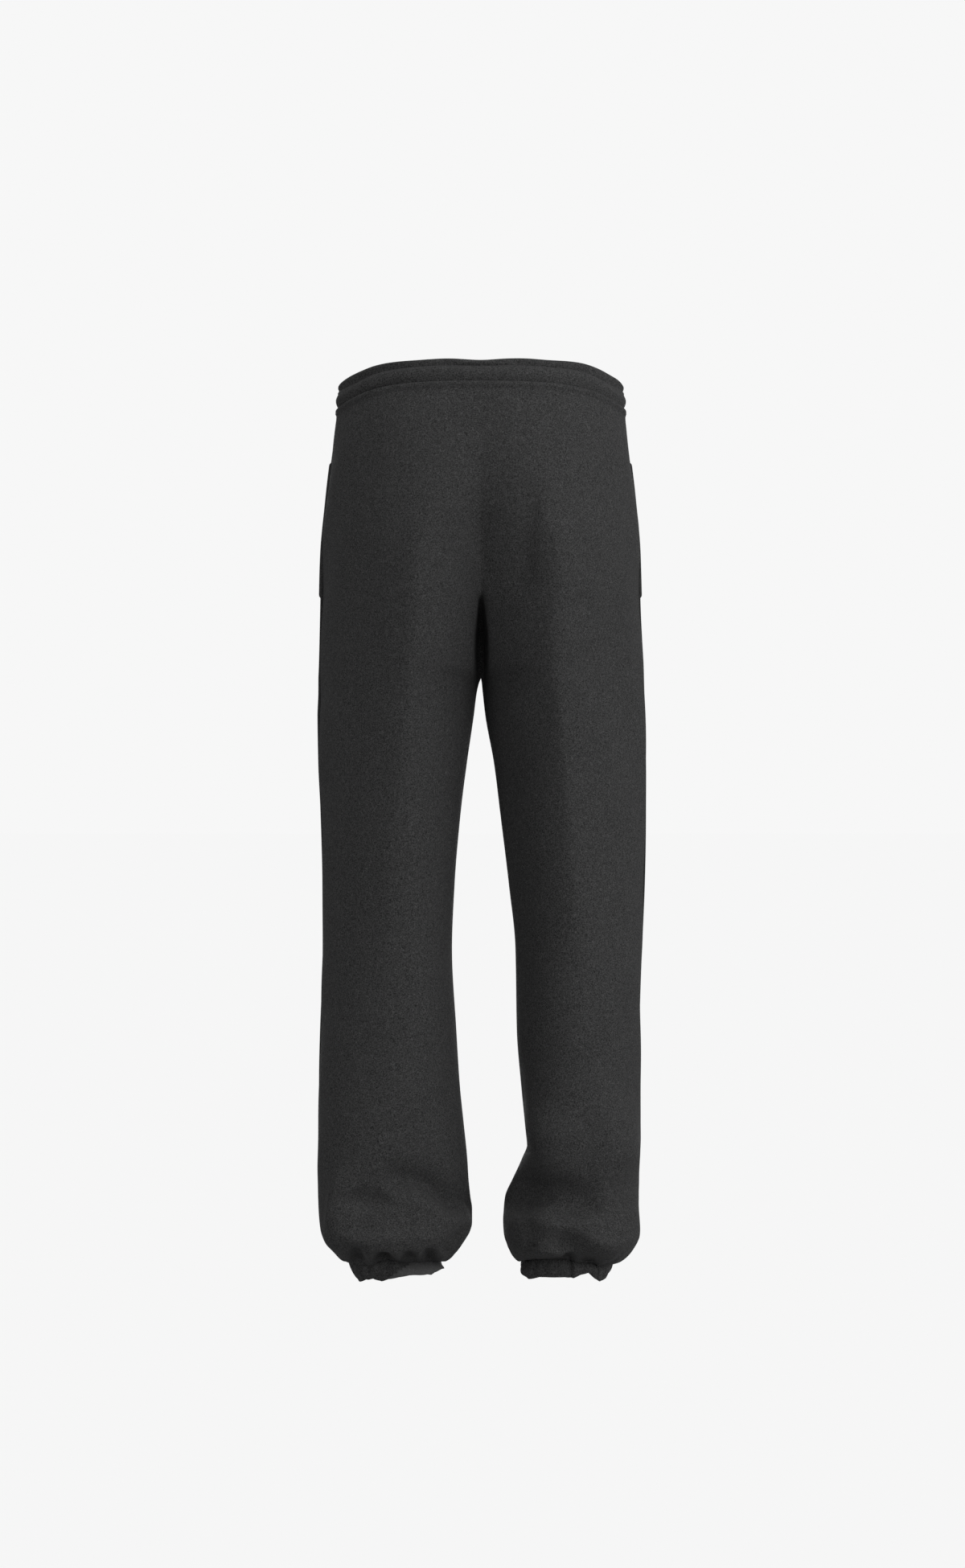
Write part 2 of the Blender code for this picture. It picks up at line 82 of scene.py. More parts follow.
# A section is level. Out and in are the distances of the side seam and the inseam from the middle plane,
# and mid is where each back, or both fronts, are deepest. Ridge is how softly the back turns there and flank
# how round it runs on to the seams, where 2 is an ellipse and less is flatter. Above the crotch the front has
# its own in. Hollow is the share of depth lost at the middle plane in the narrow hollow under the seat.
sectionNames = ("z", "leftOut", "leftIn", "rightOut", "rightIn", "frontIn", "leftMid", "rightMid", "frontMid",
                "back", "front", "leftRidge", "leftFlank", "rightRidge", "rightFlank", "hollow")
sectionRows = (
    (-28, 164, -164, 164, -164, -164, 0, 0, 0, 115.5, 111.5, 2.12, 2.12, 2.12, 2.12, 0),
    (-75, 169.5, -120, 169.5, -124, -150, 34, 30, 14, 124, 114, 2.05, 2, 2.05, 2, 0),
    (-129, 176, -92, 176, -92, -112, 46, 54, 50, 133, 117, 1.85, 1.75, 1.85, 1.75, 0),
    (-190, 181, -62, 181, -56, -80, 66, 80, 75, 138, 118, 1.6, 1.42, 1.6, 1.42, 0),
    (-240, 182, -50, 182, -44, -46, 71, 86, 82, 135.5, 116, 1.5, 1.35, 1.5, 1.35, 0),
    (-262, 182.6, -40, 182.6, -36, -28, 72, 82, 85, 132, 114, 1.5, 1.35, 1.45, 1.35, 0.4),
    (-290, 183.5, -29, 184, -27, -11, 74, 81, 88, 127.5, 111, 1.5, 1.35, 1.42, 1.35, 0.85),
    (-322, 184.5, -15, 186, -14, -2, 77, 81, 90, 120.5, 107, 1.5, 1.35, 1.4, 1.35, 1),
    (-336, 185, 0.6, 186.5, 0.4, 0.5, 78, 82, 92, 117.5, 105, 1.5, 1.35, 1.4, 1.35, 1),
    (-350, 185, 4.5, 187, 2, 3, 79, 84, 93, 114, 103, 1.5, 1.35, 1.4, 1.35, 0.6),
    (-377, 186, 8, 188, 5, 6, 82, 87, 95, 110, 101, 1.5, 1.35, 1.4, 1.35, 0),
    (-432, 186, 16, 189, 15, 15, 88, 92, 98, 103, 97, 1.5, 1.35, 1.42, 1.35, 0),
    (-488, 184, 23, 188, 22, 22, 93, 97, 100, 97, 93, 1.55, 1.38, 1.48, 1.38, 0),
    (-570, 181, 30, 186, 32, 31, 98, 102, 102, 90, 89, 1.6, 1.45, 1.6, 1.45, 0),
    (-644, 182, 33, 184, 39.5, 36, 101, 106, 104, 87, 86, 1.8, 1.65, 1.75, 1.6, 0),
    (-736, 184, 28, 182, 41, 35, 104, 108, 105, 89.5, 82, 2.05, 1.95, 2, 1.9, 0),
    (-800, 186, 24, 181, 46, 35, 108, 105, 106, 92.5, 80, 2.3, 2.2, 2.25, 2.15, 0),
    (-840, 186.7, 20, 181.5, 50, 35, 113, 106, 106, 95, 81, 2.5, 2.4, 3.3, 3.2, 0),
    (-868, 187, 17, 182.5, 53, 35, 118, 108, 105, 96, 82, 2.6, 2.5, 3.6, 3.5, 0),
    (-884, 187, 15.5, 182.5, 47, 31, 121, 117, 105, 96, 84, 2.65, 2.55, 2.6, 2.5, 0),
    (-908, 186, 14, 182.5, 36, 25, 124, 126, 104, 95.5, 86, 2.75, 2.65, 1.7, 1.6, 0),
    (-928, 185, 12, 182, 27.5, 20, 127, 118, 102, 97, 88, 2.9, 2.8, 1.9, 1.8, 0),
    (-942, 184, 10, 181, 26, 18, 129, 103, 101, 99.5, 88, 3, 2.9, 2.6, 2.5, 0),
    (-957, 182, 10, 180.8, 25.5, 18, 130, 102, 101, 103, 87, 3, 2.9, 2.8, 2.7, 0),
    (-967, 178.5, 12.5, 180, 26, 19, 128, 101.5, 101, 106, 85, 2.9, 2.8, 2.8, 2.7, 0),
    (-973, 175.7, 16, 178.2, 27, 21, 124, 101, 100.5, 106, 82, 2.8, 2.7, 2.7, 2.6, 0),
    (-979, 172, 20, 175.5, 29, 24, 117, 100.6, 100, 101.5, 78, 2.6, 2.5, 2.5, 2.4, 0),
    (-985, 168, 24, 172, 31, 27, 111, 100, 100, 91, 74, 2.4, 2.35, 2.4, 2.35, 0),
    (-993, 162.5, 31, 165, 36, 34, 103, 99, 99, 72, 65, 2.2, 2.2, 2.2, 2.2, 0),
    (-998.7, 154, 44, 154, 45, 44, 99, 99, 99, 56, 57, 2.1, 2.1, 2.1, 2.1, 0),
)
frontPower = 2.15
crotch = -336.0
# At the back the inner side of a leg may keep facing out for longer and turn late towards the inseam:
# how much is added to its powers there, by the drop below the waist.
lateTurns = {
    "left": ((320, 0), (380, 0.15), (460, 0.45), (560, 0.7), (700, 0.75), (790, 0.4), (870, 0)),
    "right": ((320, 0), (870, 0)),
}
# Round the rise seam the two halves of the seat run into one another in a soft hollow of this radius.
riseSoft = {"radius": 4.5, "bottom": -262.0, "fades": 45.0, "reach": (40.0, 75.0)}
# The narrow hollow is fully deep nearer than inner, and is narrower where it starts.
narrowHollow = {"inner": 3.4, "outer": 9.6, "startsAt": -246.0, "fullAt": -300.0, "atStart": 0.45}

# Folds and gathers of each panel: the place of the middle by its distance from the middle plane and its
# height, the length along the tilt, the width above and below that line, and the depth, below 0 in a trough.
foldNames = ("x", "z", "length", "above", "below", "tilt", "depth")
foldRows = {
    ("left", back): (
        (78, -897, 58, 20, 12, 6, -13), (37, -920, 68, 19, 10, 38, -15), (128, -918, 56, 14, 10, 2, -7),
        (62, -922, 60, 8, 12, 20, 2.5), (163, -926, 84, 8, 24, -84, 9), (92, -958, 118, 9, 8, -3, 4.2),
        (36, -941, 44, 8, 8, -21, 2.5), (139, -984, 34, 11, 13, 84, -12), (124, -985, 22, 6, 6, 90, 1.5),
        (108, -987, 29, 12, 16, 98, -8), (94, -983, 24, 6, 6, 90, 2), (79, -984, 26, 10, 12, 88, -8.5),
        (68, -983, 22, 5, 5, 90, 1.5), (57, -984, 29, 10, 11, 94, -8.5), (29, -968, 36, 8, 10, -48, -10.5),
        (144, -969, 36, 8, 12, 20, -5),
    ),
    ("left", front): (
        (112, -905, 110, 18, 14, 8, -7), (60, -928, 70, 12, 10, -24, -5), (92, -957, 130, 10, 9, -4, 2.5),
        (140, -979, 30, 7, 6, 84, -7), (104, -982, 26, 7, 5, 90, -6), (70, -980, 28, 7, 6, 96, -6.5),
        (36, -972, 32, 7, 7, 60, -4), (60, -262, 120, 10, 16, 28, -3.5), (84, -306, 110, 9, 14, 20, -3),
        (108, -560, 120, 14, 18, 12, -2.5),
    ),
    ("right", back): (
        (106, -930, 66, 38, 8, 2, -11), (54, -927, 56, 30, 7, 20, -8), (104, -943, 72, 7, 12, 3, 3.5),
        (54, -942, 56, 9, 13, 20, 3.5), (86, -846, 64, 24, 16, 8, 4.5), (51, -958, 40, 15, 12, 72, -8.5),
        (77, -967, 40, 14, 16, 0, -4), (52, -976, 24, 7, 7, 84, -5), (110, -977, 62, 16, 16, -34, -18),
        (122, -958, 60, 9, 5, -20, 2), (70, -988, 34, 4, 4, -3, -4.5), (97, -988, 26, 6, 8, 84, -5),
        (51, -186, 130, 18, 14, 86, -5),
    ),
    ("right", front): (
        (92, -908, 104, 20, 12, -10, -8), (116, -936, 80, 9, 12, 8, -4.5), (88, -958, 120, 10, 9, 4, 2.5),
        (136, -980, 28, 6, 7, 82, -7), (98, -983, 24, 6, 5, 92, -5.5), (62, -979, 30, 7, 6, 98, -6.5),
        (64, -256, 110, 10, 15, 32, -3.2), (88, -298, 120, 9, 15, 22, -3),
        (104, -548, 110, 14, 18, -10, -2.5),
    ),
}
foldSharpness = 1.4
steepTilt = 60.0               # folds steeper than this run up and down
foldFades = {"end": 3.5, "side": 26.0, "inner": 20.0}

unevenness = {                 # the soft waviness of hanging fleece
    "waves": 9, "height": 0.42, "shortest": 70.0, "longest": 260.0, "slant": 0.9, "seed": 11,
    "fullFrom": -90.0, "endFades": 40.0, "innerFades": 30.0,
}

topEdge = {                    # the cloth over the waistband's seam and the row of stitches below it
    "stand": 1.9,
    "ridgeDrop": 2.4, "ridgeWidth": 4.6,
    "tuck": 1.0, "tuckWidth": 0.8,
    "stitchDip": 0.5, "stitchDrop": 7.4, "stitchWidth": 1.3,
    "evenPull": 0.75, "unevenPull": 0.16,      # shares of the stitches' dip
    "puckers": 10, "shortest": 9.0, "longest": 34.0, "seed": 5,
}


def smooth(low, high, value):
    share = np.clip((value - low) / (high - low), 0.0, 1.0)
    return share * share * (3.0 - 2.0 * share)


def bell(value, middle, width):
    # 1 at the middle, fading away on both sides
    return np.exp(-((value - middle) / width) ** 2)


def unit(vectors):
    return vectors / np.maximum(np.linalg.norm(vectors, axis=-1, keepdims=True), tiny)


def runLengths(x, y):
    return np.concatenate(([0.0], np.cumsum(np.hypot(np.diff(x), np.diff(y)))))


def panelNumber(leg, face):
    return (leg == "right") + 2 * (face == front)


def levelSlopes(knots, values):
    # slopes of a cubic that never overshoots its values
    rates = np.diff(values) / np.diff(knots)
    slopes = np.zeros(len(knots))
    slopes[0], slopes[-1] = rates[0], rates[-1]
    before, after = rates[:-1], rates[1:]
    same = before * after > 0.0
    slopes[1:-1][same] = 2.0 * (before * after)[same] / (before + after)[same]
    return slopes


knots = np.array([-row[0] for row in sectionRows], float)
sectionColumns = {name: np.array([row[i] for row in sectionRows], float)
                  for i, name in enumerate(sectionNames) if name != "z"}
sectionSlopes = {name: levelSlopes(knots, values) for name, values in sectionColumns.items()}
folds = {panel: [dict(zip(foldNames, row)) for row in rows] for panel, rows in foldRows.items()}


def sectionAt(name, z):
    # a column of the section table at any height
    drop = min(max(-z, knots[0]), knots[-1])
    i = min(max(int(np.searchsorted(knots, drop, side="right")) - 1, 0), len(knots) - 2)
    step = knots[i + 1] - knots[i]
    t = (drop - knots[i]) / step
    values, slopes = sectionColumns[name], sectionSlopes[name]
    low = (1 + 2 * t) * (1 - t) ** 2 * values[i] + t * (1 - t) ** 2 * step * slopes[i]
    high = t * t * (3 - 2 * t) * values[i + 1] + t * t * (t - 1) * step * slopes[i + 1]
    return low + high


def waistRise(y, depth, z, down=1.0):
    # the waist is higher at the back, and this fades out below it
    share = smooth(legs["riseFrom"] * down, 1.0, np.clip(np.abs(y) / depth, 0.0, 1.0))
    more = legs["riseOfSeam"] * down * share * (y < 0.0)
    return (more - np.sign(y) * legs["riseAtWaist"] * share) * smooth(legs["riseFades"], legs["top"], z)


def roundRise(x, y, z):
    # the seat's section with its hollow at the rise seam rounded
    soft = riseSoft["radius"] * smooth(riseSoft["bottom"], riseSoft["bottom"] + riseSoft["fades"], z)
    away = (np.hypot(x, soft) - np.abs(x)) * (1.0 - smooth(*riseSoft["reach"], x))
    return np.interp(x + away, x[::-1], y[::-1])


def hollowShare(x, z):
    # the share of depth that the narrow hollow under the seat takes
    begin = narrowHollow["atStart"]
    widen = begin + (1.0 - begin) * smooth(narrowHollow["startsAt"], narrowHollow["fullAt"], z)
    near = 1.0 - smooth(narrowHollow["inner"] * widen, narrowHollow["outer"] * widen, x)
    return sectionAt("hollow", z) * near


def sectionLine(leg, face, z):
    # one face of a leg at a height, from the side seam to the rise seam or the inseam
    names = [leg + part for part in ("Out", "In", "Mid", "Ridge", "Flank")] + ["back"]
    outer, inner, mid, ridge, flank, depth = (sectionAt(name, z) for name in names)
    if face == front:
        inner = sectionAt("frontIn", z) if z > crotch else inner
        mid, depth = sectionAt("frontMid", z), sectionAt("front", z)
        ridge = flank = frontPower
    angles = np.linspace(0.0, math.pi, legs["sectionSteps"])
    cosine, sine = np.cos(angles), np.sin(angles)
    if face == back:
        late = np.where(cosine < 0.0, np.interp(-z, *np.array(lateTurns[leg]).T), 0.0)
        ridge, flank = ridge + late, flank + late
    reach = np.where(cosine >= 0.0, outer - mid, mid - inner)
    x = mid + reach * np.sign(cosine) * np.abs(cosine) ** (2.0 / ridge)
    y = depth * np.abs(sine) ** (2.0 / flank)
    if face == back:
        y = roundRise(x, y, z) * (1.0 - hollowShare(x, z))
    if inner < 0.0:
        past = int(np.argmax(x < 0.0))
        share = x[past - 1] / (x[past - 1] - x[past])
        y = np.append(y[:past], y[past - 1] + share * (y[past] - y[past - 1]))
        x = np.append(x[:past], 0.0)
    return x, face * y, depth


def rowHeights(zones, start):
    heights = [start]
    for bottom, step in zones:
        count = math.ceil((heights[-1] - bottom) / step)
        heights.extend(np.linspace(heights[-1], bottom, count + 1)[1:])
    return np.array(heights)


def surfacePoints(leg, face, heights, stopsAt):
    # points of the cloth's outside, their distances from both side edges, and their heights
    points, fromSide, toInner = [], [], []
    for z in heights:
        x, y, depth = sectionLine(leg, face, z)
        lengths = runLengths(x, y)
        stops = stopsAt(lengths[-1])
        px, py = np.interp(stops, lengths, x), np.interp(stops, lengths, y)
        points.append(np.stack([px, py, z + waistRise(py, depth, z)], axis=-1))
        fromSide.append(stops)
        toInner.append(lengths[-1] - stops)
    levels = np.repeat(np.asarray(heights)[:, None], len(points[0]), axis=1)
    return np.array(points), np.array(fromSide), np.array(toInner), levels


def gridNormals(points, face):
    return unit(np.cross(np.gradient(points, axis=1), -np.gradient(points, axis=0)) * face)


def foldHeight(leg, face, points, upright):
    # all the folds of one panel that run up and down, or all that run across
    total = np.zeros(points.shape[:-1])
    for fold in folds[leg, face]:
        if (abs(fold["tilt"]) >= steepTilt) != upright:
            continue
        tilt = math.radians(fold["tilt"])
        across, up = points[..., 0] - fold["x"], points[..., 2] - fold["z"]
        along = across * math.cos(tilt) + up * math.sin(tilt)
        aside = up * math.cos(tilt) - across * math.sin(tilt)
        width = np.where(aside > 0.0, fold["above"], fold["below"])
        reach = (along / (fold["length"] / 2.0)) ** 4 + (aside / width) ** 2
        total += fold["depth"] * np.exp(-reach * foldSharpness)
    return total


def waviness(leg, face, distance, levels):
    rng = np.random.default_rng(unevenness["seed"] + panelNumber(leg, face))
    total = np.zeros(distance.shape)
    for _ in range(unevenness["waves"]):
        length = rng.uniform(unevenness["shortest"], unevenness["longest"])
        slant = rng.uniform(-unevenness["slant"], unevenness["slant"])
        phase = rng.uniform(0.0, fullTurn)
        total += np.sin((distance * math.cos(slant) + levels * math.sin(slant)) * fullTurn / length + phase)
    return total * unevenness["height"]


# The gathered seam over each hem: how far above the plain end it sits at each distance from the middle plane.
ankle = {"centre": 98.5, "reach": 55.0, "gathersUp": 34.0, "seamUp": 26.0, "backFrom": 0.5}
seamLifts = {
    "left": ((40, -2), (50, 1), (60, 4), (84, 4.8), (92, 6), (104, 9), (114, 7), (122, 1.8), (140, 0),
             (156, -3)),
    "right": ((42, -3), (50, 3), (60, 6.5), (70, 8), (94, 10.5), (102, 7), (112, 5.5), (127, 4.5),
              (134, -1.5), (142, -1.5), (156, -3)),
}
# At the front it waves by itself: the height, the count round the ankle and the phase of each wave.
seamWaves = {"level": 4.5, "left": ((2.2, 4, 4.0), (1.4, 9, 1.0)), "right": ((2.2, 4, 5.0), (1.4, 9, 1.0))}
# Gathers on the back: the place as an angle round the ankle in degrees, with the depth and width.
gatherNames = ("turn", "depth", "width")
gatherRows = {
    "left": ((198, 2, 4), (216, 3.4, 4.2), (232, 1.6, 3), (247, 2.8, 3.8), (262, 1.2, 3), (277, 2.6, 3.6),
             (290, 1.4, 3), (304, 3, 3.6), (318, 3.6, 4.2), (338, 2.2, 4)),
    "right": ((196, 2, 4), (212, 3.2, 4), (228, 2.6, 3.4), (243, 1.4, 3), (257, 1.4, 3), (273, 5.6, 2.3),
              (286, 1.4, 2.6), (297, 2, 3.2), (309, 4, 3), (322, 2.2, 3.6), (342, 2, 4)),
}
frontGathers = {"count": 10, "apart": (0.2, 0.8), "depth": (1.4, 3.4), "width": (2.8, 4.4), "seed": 8}


def gatherDepth(leg, turn):
    # how far the gathers draw the cloth in, round the ankle
    rows = list(gatherRows[leg])
    rng = np.random.default_rng(frontGathers["seed"] + (leg == "right"))
    step = 180.0 / frontGathers["count"]
    for i in range(frontGathers["count"]):
        rows.append(((i + rng.uniform(*frontGathers["apart"])) * step, rng.uniform(*frontGathers["depth"]),
                     rng.uniform(*frontGathers["width"])))
    total = np.zeros(np.shape(turn))
    for row in rows:
        gather = dict(zip(gatherNames, row))
        away = np.angle(np.exp(1j * (turn - math.radians(gather["turn"])))) * ankle["reach"]
        total += gather["depth"] * bell(away, 0.0, gather["width"])
    return total


def backOrFront(leg, x, turn, table, waves):
    # round the ankle the back follows its table and the front its waves
    atBack = smooth(0.0, ankle["backFrom"], -np.sin(turn))
    wave = waves["level"] + sum(height * np.sin(count * turn + phase) for height, count, phase in waves[leg])
    return np.interp(x, *np.array(table[leg], float).T) * atBack + wave * (1.0 - atBack)


def drawInHem(leg, points, levels):
    # gathers and lifts the lower end of a leg's cloth
    x, y = points[..., 0] - ankle["centre"], points[..., 1]
    turn, radius = np.arctan2(y, x), np.hypot(x, y)
    fromEnd = levels - legs["end"]
    kept = 1.0 - gatherDepth(leg, turn) * (1.0 - smooth(0.0, ankle["gathersUp"], fromEnd)) / radius
    lift = backOrFront(leg, points[..., 0], turn, seamLifts, seamWaves)
    lift = lift * (1.0 - smooth(0.0, ankle["seamUp"], fromEnd))
    return np.stack([ankle["centre"] + x * kept, y * kept, points[..., 2] + lift], axis=-1)


def topEdgeHeight(leg, face, levels, distance):
    drop = legs["top"] - levels
    ridge = topEdge["stand"] * bell(drop, topEdge["ridgeDrop"], topEdge["ridgeWidth"])
    ridge -= topEdge["tuck"] * bell(drop, 0.0, topEdge["tuckWidth"])
    rng = np.random.default_rng(topEdge["seed"] + panelNumber(leg, face))
    pull = np.full(distance.shape, topEdge["evenPull"])
    for _ in range(topEdge["puckers"]):
        length = rng.uniform(topEdge["shortest"], topEdge["longest"])
        pull += topEdge["unevenPull"] * np.sin(distance * fullTurn / length + rng.uniform(0.0, fullTurn))
    return ridge - topEdge["stitchDip"] * pull * bell(drop, topEdge["stitchDrop"], topEdge["stitchWidth"])


def dressSurface(leg, face, points, fromSide, toInner, levels):
    # adds folds, waviness and seam dips to the plain surface
    normals = gridNormals(points, face)
    fromEnd = levels - legs["end"]
    folded = smooth(0.0, foldFades["end"], fromEnd) * smooth(0.0, foldFades["side"], fromSide)
    folded *= smooth(0.0, foldFades["inner"], toInner)
    wavy = smooth(legs["top"], unevenness["fullFrom"], levels) * smooth(0.0, unevenness["endFades"], fromEnd)
    wavy *= smooth(0.0, unevenness["innerFades"], toInner)
    innerDip = cloth["riseDip"] * smooth(0.0, cloth["riseDipFades"], cloth["riseDipFrom"] - levels)
    innerDip += (1.0 - cloth["riseDip"]) * smooth(0.0, cloth["inseamDipFades"], crotch - levels)
    dips = bell(fromSide, 0.0, cloth["seamDipWidth"]) + bell(toInner, 0.0, cloth["seamDipWidth"]) * innerDip
    dips *= cloth["seamDip"] * smooth(0.0, cloth["dipFades"], legs["top"] - levels)
    offset = foldHeight(leg, face, points, True) * folded + waviness(leg, face, fromSide, levels) * wavy
    offset += topEdgeHeight(leg, face, levels, fromSide) - dips
    level = foldHeight(leg, face, points, False) * folded
    moved = points + normals * offset[..., None] + unit(normals * (1.0, 1.0, 0.0)) * level[..., None]
    moved[..., 0] = np.maximum(moved[..., 0], 0.0)
    moved[points[:, -1, 0] < onPlane, -1, 0] = 0.0
    moved = drawInHem(leg, moved, levels)
    return moved, gridNormals(moved, face)


def addObject(name, data):
    item = bpy.data.objects.new(name, data)
    bpy.context.collection.objects.link(item)
    return item


def signedVolume(verts, faces):
    a, b, c, d = (verts[faces[:, i]] for i in range(4))
    six = np.einsum("ij,ij->i", a, np.cross(b, c)) + np.einsum("ij,ij->i", a, np.cross(c, d))
    return float(six.sum()) / 6.0


def addMesh(name, verts, faces, slots, uv, materials):
    # a mesh in metres from points in millimetres, with its faces turned outwards
    if signedVolume(verts, faces) < 0.0:
        faces = faces[:, ::-1]
    mesh = bpy.data.meshes.new(name)
    mesh.from_pydata((verts * mm).tolist(), [], faces.tolist())
    for material in materials:
        mesh.materials.append(material)
    mesh.polygons.foreach_set("material_index", slots.astype(np.int32))
    layer = mesh.uv_layers.new(name="clothMap")
    loops = np.zeros(len(mesh.loops), np.int32)
    mesh.loops.foreach_get("vertex_index", loops)
    layer.data.foreach_set("uv", (uv[loops] * mm).astype(np.float32).ravel())
    mesh.shade_smooth()
    mesh.set_sharp_from_angle(angle=math.radians(cloth["sharpFrom"]))
    return addObject(name, mesh)


def gridFaces(rows, columns, start):
    index = start + np.arange(rows * columns).reshape(rows, columns)
    return np.stack([index[:-1, :-1], index[1:, :-1], index[1:, 1:], index[:-1, 1:]], axis=-1).reshape(-1, 4)


def shellMesh(name, outside, inside, fromSide, levels, side, materials):
    # a closed wall between two grids: the outside takes the first material and the inside the second
    rows, columns = outside.shape[:2]
    count = rows * columns
    verts = np.concatenate((outside.reshape(-1, 3), inside.reshape(-1, 3))) * (side, 1.0, 1.0)
    outerFaces = gridFaces(rows, columns, 0)
    innerFaces = gridFaces(rows, columns, count)[:, ::-1]
    index = np.arange(count).reshape(rows, columns)
    rim = np.concatenate((index[0, :-1], index[:-1, -1], index[-1, :0:-1], index[:0:-1, 0]))
    after = np.roll(rim, -1)
    rimFaces = np.stack([rim, after, after + count, rim + count], axis=-1)
    faces = np.concatenate((outerFaces, innerFaces, rimFaces))
    slots = np.repeat((0, 1, 0), (len(outerFaces), len(innerFaces), len(rimFaces)))
    flat = np.stack([fromSide, levels], axis=-1).reshape(-1, 2)
    return addMesh(name, verts, faces, slots, np.concatenate((flat, flat)), materials)


def ringMesh(name, loops, uv, innerFrom, materials, paintedLitFaces=None):
    # a closed ring from loops of points, where the loops past innerFrom, and the faces given the painted
    # highlight, show the second material
    rows, columns = loops.shape[:2]
    index = np.arange(rows * columns).reshape(rows, columns)
    below, beside = np.roll(index, -1, axis=0), np.roll(index, -1, axis=1)
    faces = np.stack([index, below, np.roll(below, -1, axis=1), beside], axis=-1).reshape(-1, 4)
    slots = np.repeat((np.arange(rows) >= innerFrom).astype(int), columns)
    if paintedLitFaces is not None:
        slots = np.maximum(slots, paintedLitFaces.reshape(-1))
    return addMesh(name, loops.reshape(-1, 3), faces, slots, uv.reshape(-1, 2), materials)


def feed(tree, socket, value):
    # links another node's output, or sets a plain value
    if isinstance(value, bpy.types.NodeSocket):
        tree.links.new(value, socket)
    else:
        socket.default_value = value


def addNode(tree, kind, inputs, **settings):
    node = tree.nodes.new(kind)
    for name, value in settings.items():
        setattr(node, name, value)
    for name, value in inputs.items():
        feed(tree, node.inputs[name], value)
    return node


def newTree(name, kind, inputs, outputs):
    # a node group with its sockets, each a name with its type and value
    tree = bpy.data.node_groups.new(name, kind)
    for way, sockets in (("INPUT", inputs), ("OUTPUT", outputs)):
        for label, (socketType, value) in sockets.items():
            socket = tree.interface.new_socket(name=label, in_out=way, socket_type="NodeSocket" + socketType)
            if value is not None:
                socket.default_value = value
    given, result = tree.nodes.new("NodeGroupInput"), tree.nodes.new("NodeGroupOutput")
    return tree, given.outputs, result.inputs


def mathNode(tree, operation, *values):
    return addNode(tree, "ShaderNodeMath", dict(enumerate(values)), operation=operation).outputs[0]


def noiseNode(tree, vector, scale, detail, roughness, distortion=0.0):
    inputs = {"Vector": vector, "Scale": scale, "Detail": detail, "Roughness": roughness,
              "Distortion": distortion}
    return addNode(tree, "ShaderNodeTexNoise", inputs).outputs["Fac"]


def mapRange(tree, value, fromLow, fromHigh, toLow, toHigh, interpolation="LINEAR"):
    inputs = {"Value": value, "From Min": fromLow, "From Max": fromHigh, "To Min": toLow, "To Max": toHigh}
    return addNode(tree, "ShaderNodeMapRange", inputs, interpolation_type=interpolation).outputs["Result"]


shadeAndHeight = {"Shade": ("Float", None), "Height": ("Float", None)}
patterns = {
    "grainScale": 800.0,
    "fibreScale": 0.42,        # the scales of the rest are shares of the grain's
    "fibreWidth": 0.045,
    "fibreHeight": 0.6,
    "patchScale": 0.3,         # the fibres show in patches
    "patchEdge": (0.48, 0.62),
    "cloudScale": 0.035,
    "threads": 1250.0,
    "weaveShade": 0.35,
    "ribs": 420.0,
    "ribStretch": 0.12,
}


def makeFleeceGroup():
    # brushed fleece: fuzzy grain, short curved fibres and a cloudy nap, as a shade round 1 and a height
    group, given, result = newTree(
        "fleeceNap", "ShaderNodeTree",
        {"Vector": ("Vector", None), "Grain Scale": ("Float", patterns["grainScale"]),
         "Grain Shade": ("Float", 0.5), "Fibre Shade": ("Float", 0.3), "Cloud Shade": ("Float", 0.2)},
        shadeAndHeight)
    times, plus, minus = (partial(mathNode, group, name) for name in ("MULTIPLY", "ADD", "SUBTRACT"))

    def noise(share, **sizes):
        return noiseNode(group, given["Vector"], times(given["Grain Scale"], share), **sizes)

    grain = noiseNode(group, given["Vector"], given["Grain Scale"], detail=2.0, roughness=0.6)
    strand = noise(patterns["fibreScale"], detail=1.0, roughness=0.5, distortion=0.9)
    line = mapRange(group, mathNode(group, "ABSOLUTE", minus(strand, 0.5)), 0.0, patterns["fibreWidth"],
                    1.0, 0.0, "SMOOTHSTEP")
    patch = noise(patterns["patchScale"], detail=0.0, roughness=0.5)
    fibre = times(line, mapRange(group, patch, *patterns["patchEdge"], 0.0, 1.0, "SMOOTHSTEP"))
    cloud = noise(patterns["cloudScale"], detail=3.0, roughness=0.55)
    shade = plus(times(minus(grain, 0.5), given["Grain Shade"]), times(fibre, given["Fibre Shade"]))
    shade = plus(shade, times(minus(cloud, 0.5), given["Cloud Shade"]))
    feed(group, result["Shade"], plus(shade, 1.0))
    feed(group, result["Height"], plus(grain, times(fibre, patterns["fibreHeight"])))
    return group


def makeWovenGroup():
    # a plain close weave on the piece's own map, as a shade round 1 and a height
    group, given, result = newTree(
        "closeWeave", "ShaderNodeTree",
        {"Vector": ("Vector", None), "Threads": ("Float", patterns["threads"]),
         "Shade Depth": ("Float", patterns["weaveShade"])}, shadeAndHeight)
    times = partial(mathNode, group, "MULTIPLY")
    split = addNode(group, "ShaderNodeSeparateXYZ", {0: given["Vector"]}).outputs
    waves = [mathNode(group, "SINE", times(times(split[axis], given["Threads"]), math.pi)) for axis in "XY"]
    crossing = times(*waves)
    feed(group, result["Height"], crossing)
    feed(group, result["Shade"], mathNode(group, "ADD", times(crossing, given["Shade Depth"]), 1.0))
    return group


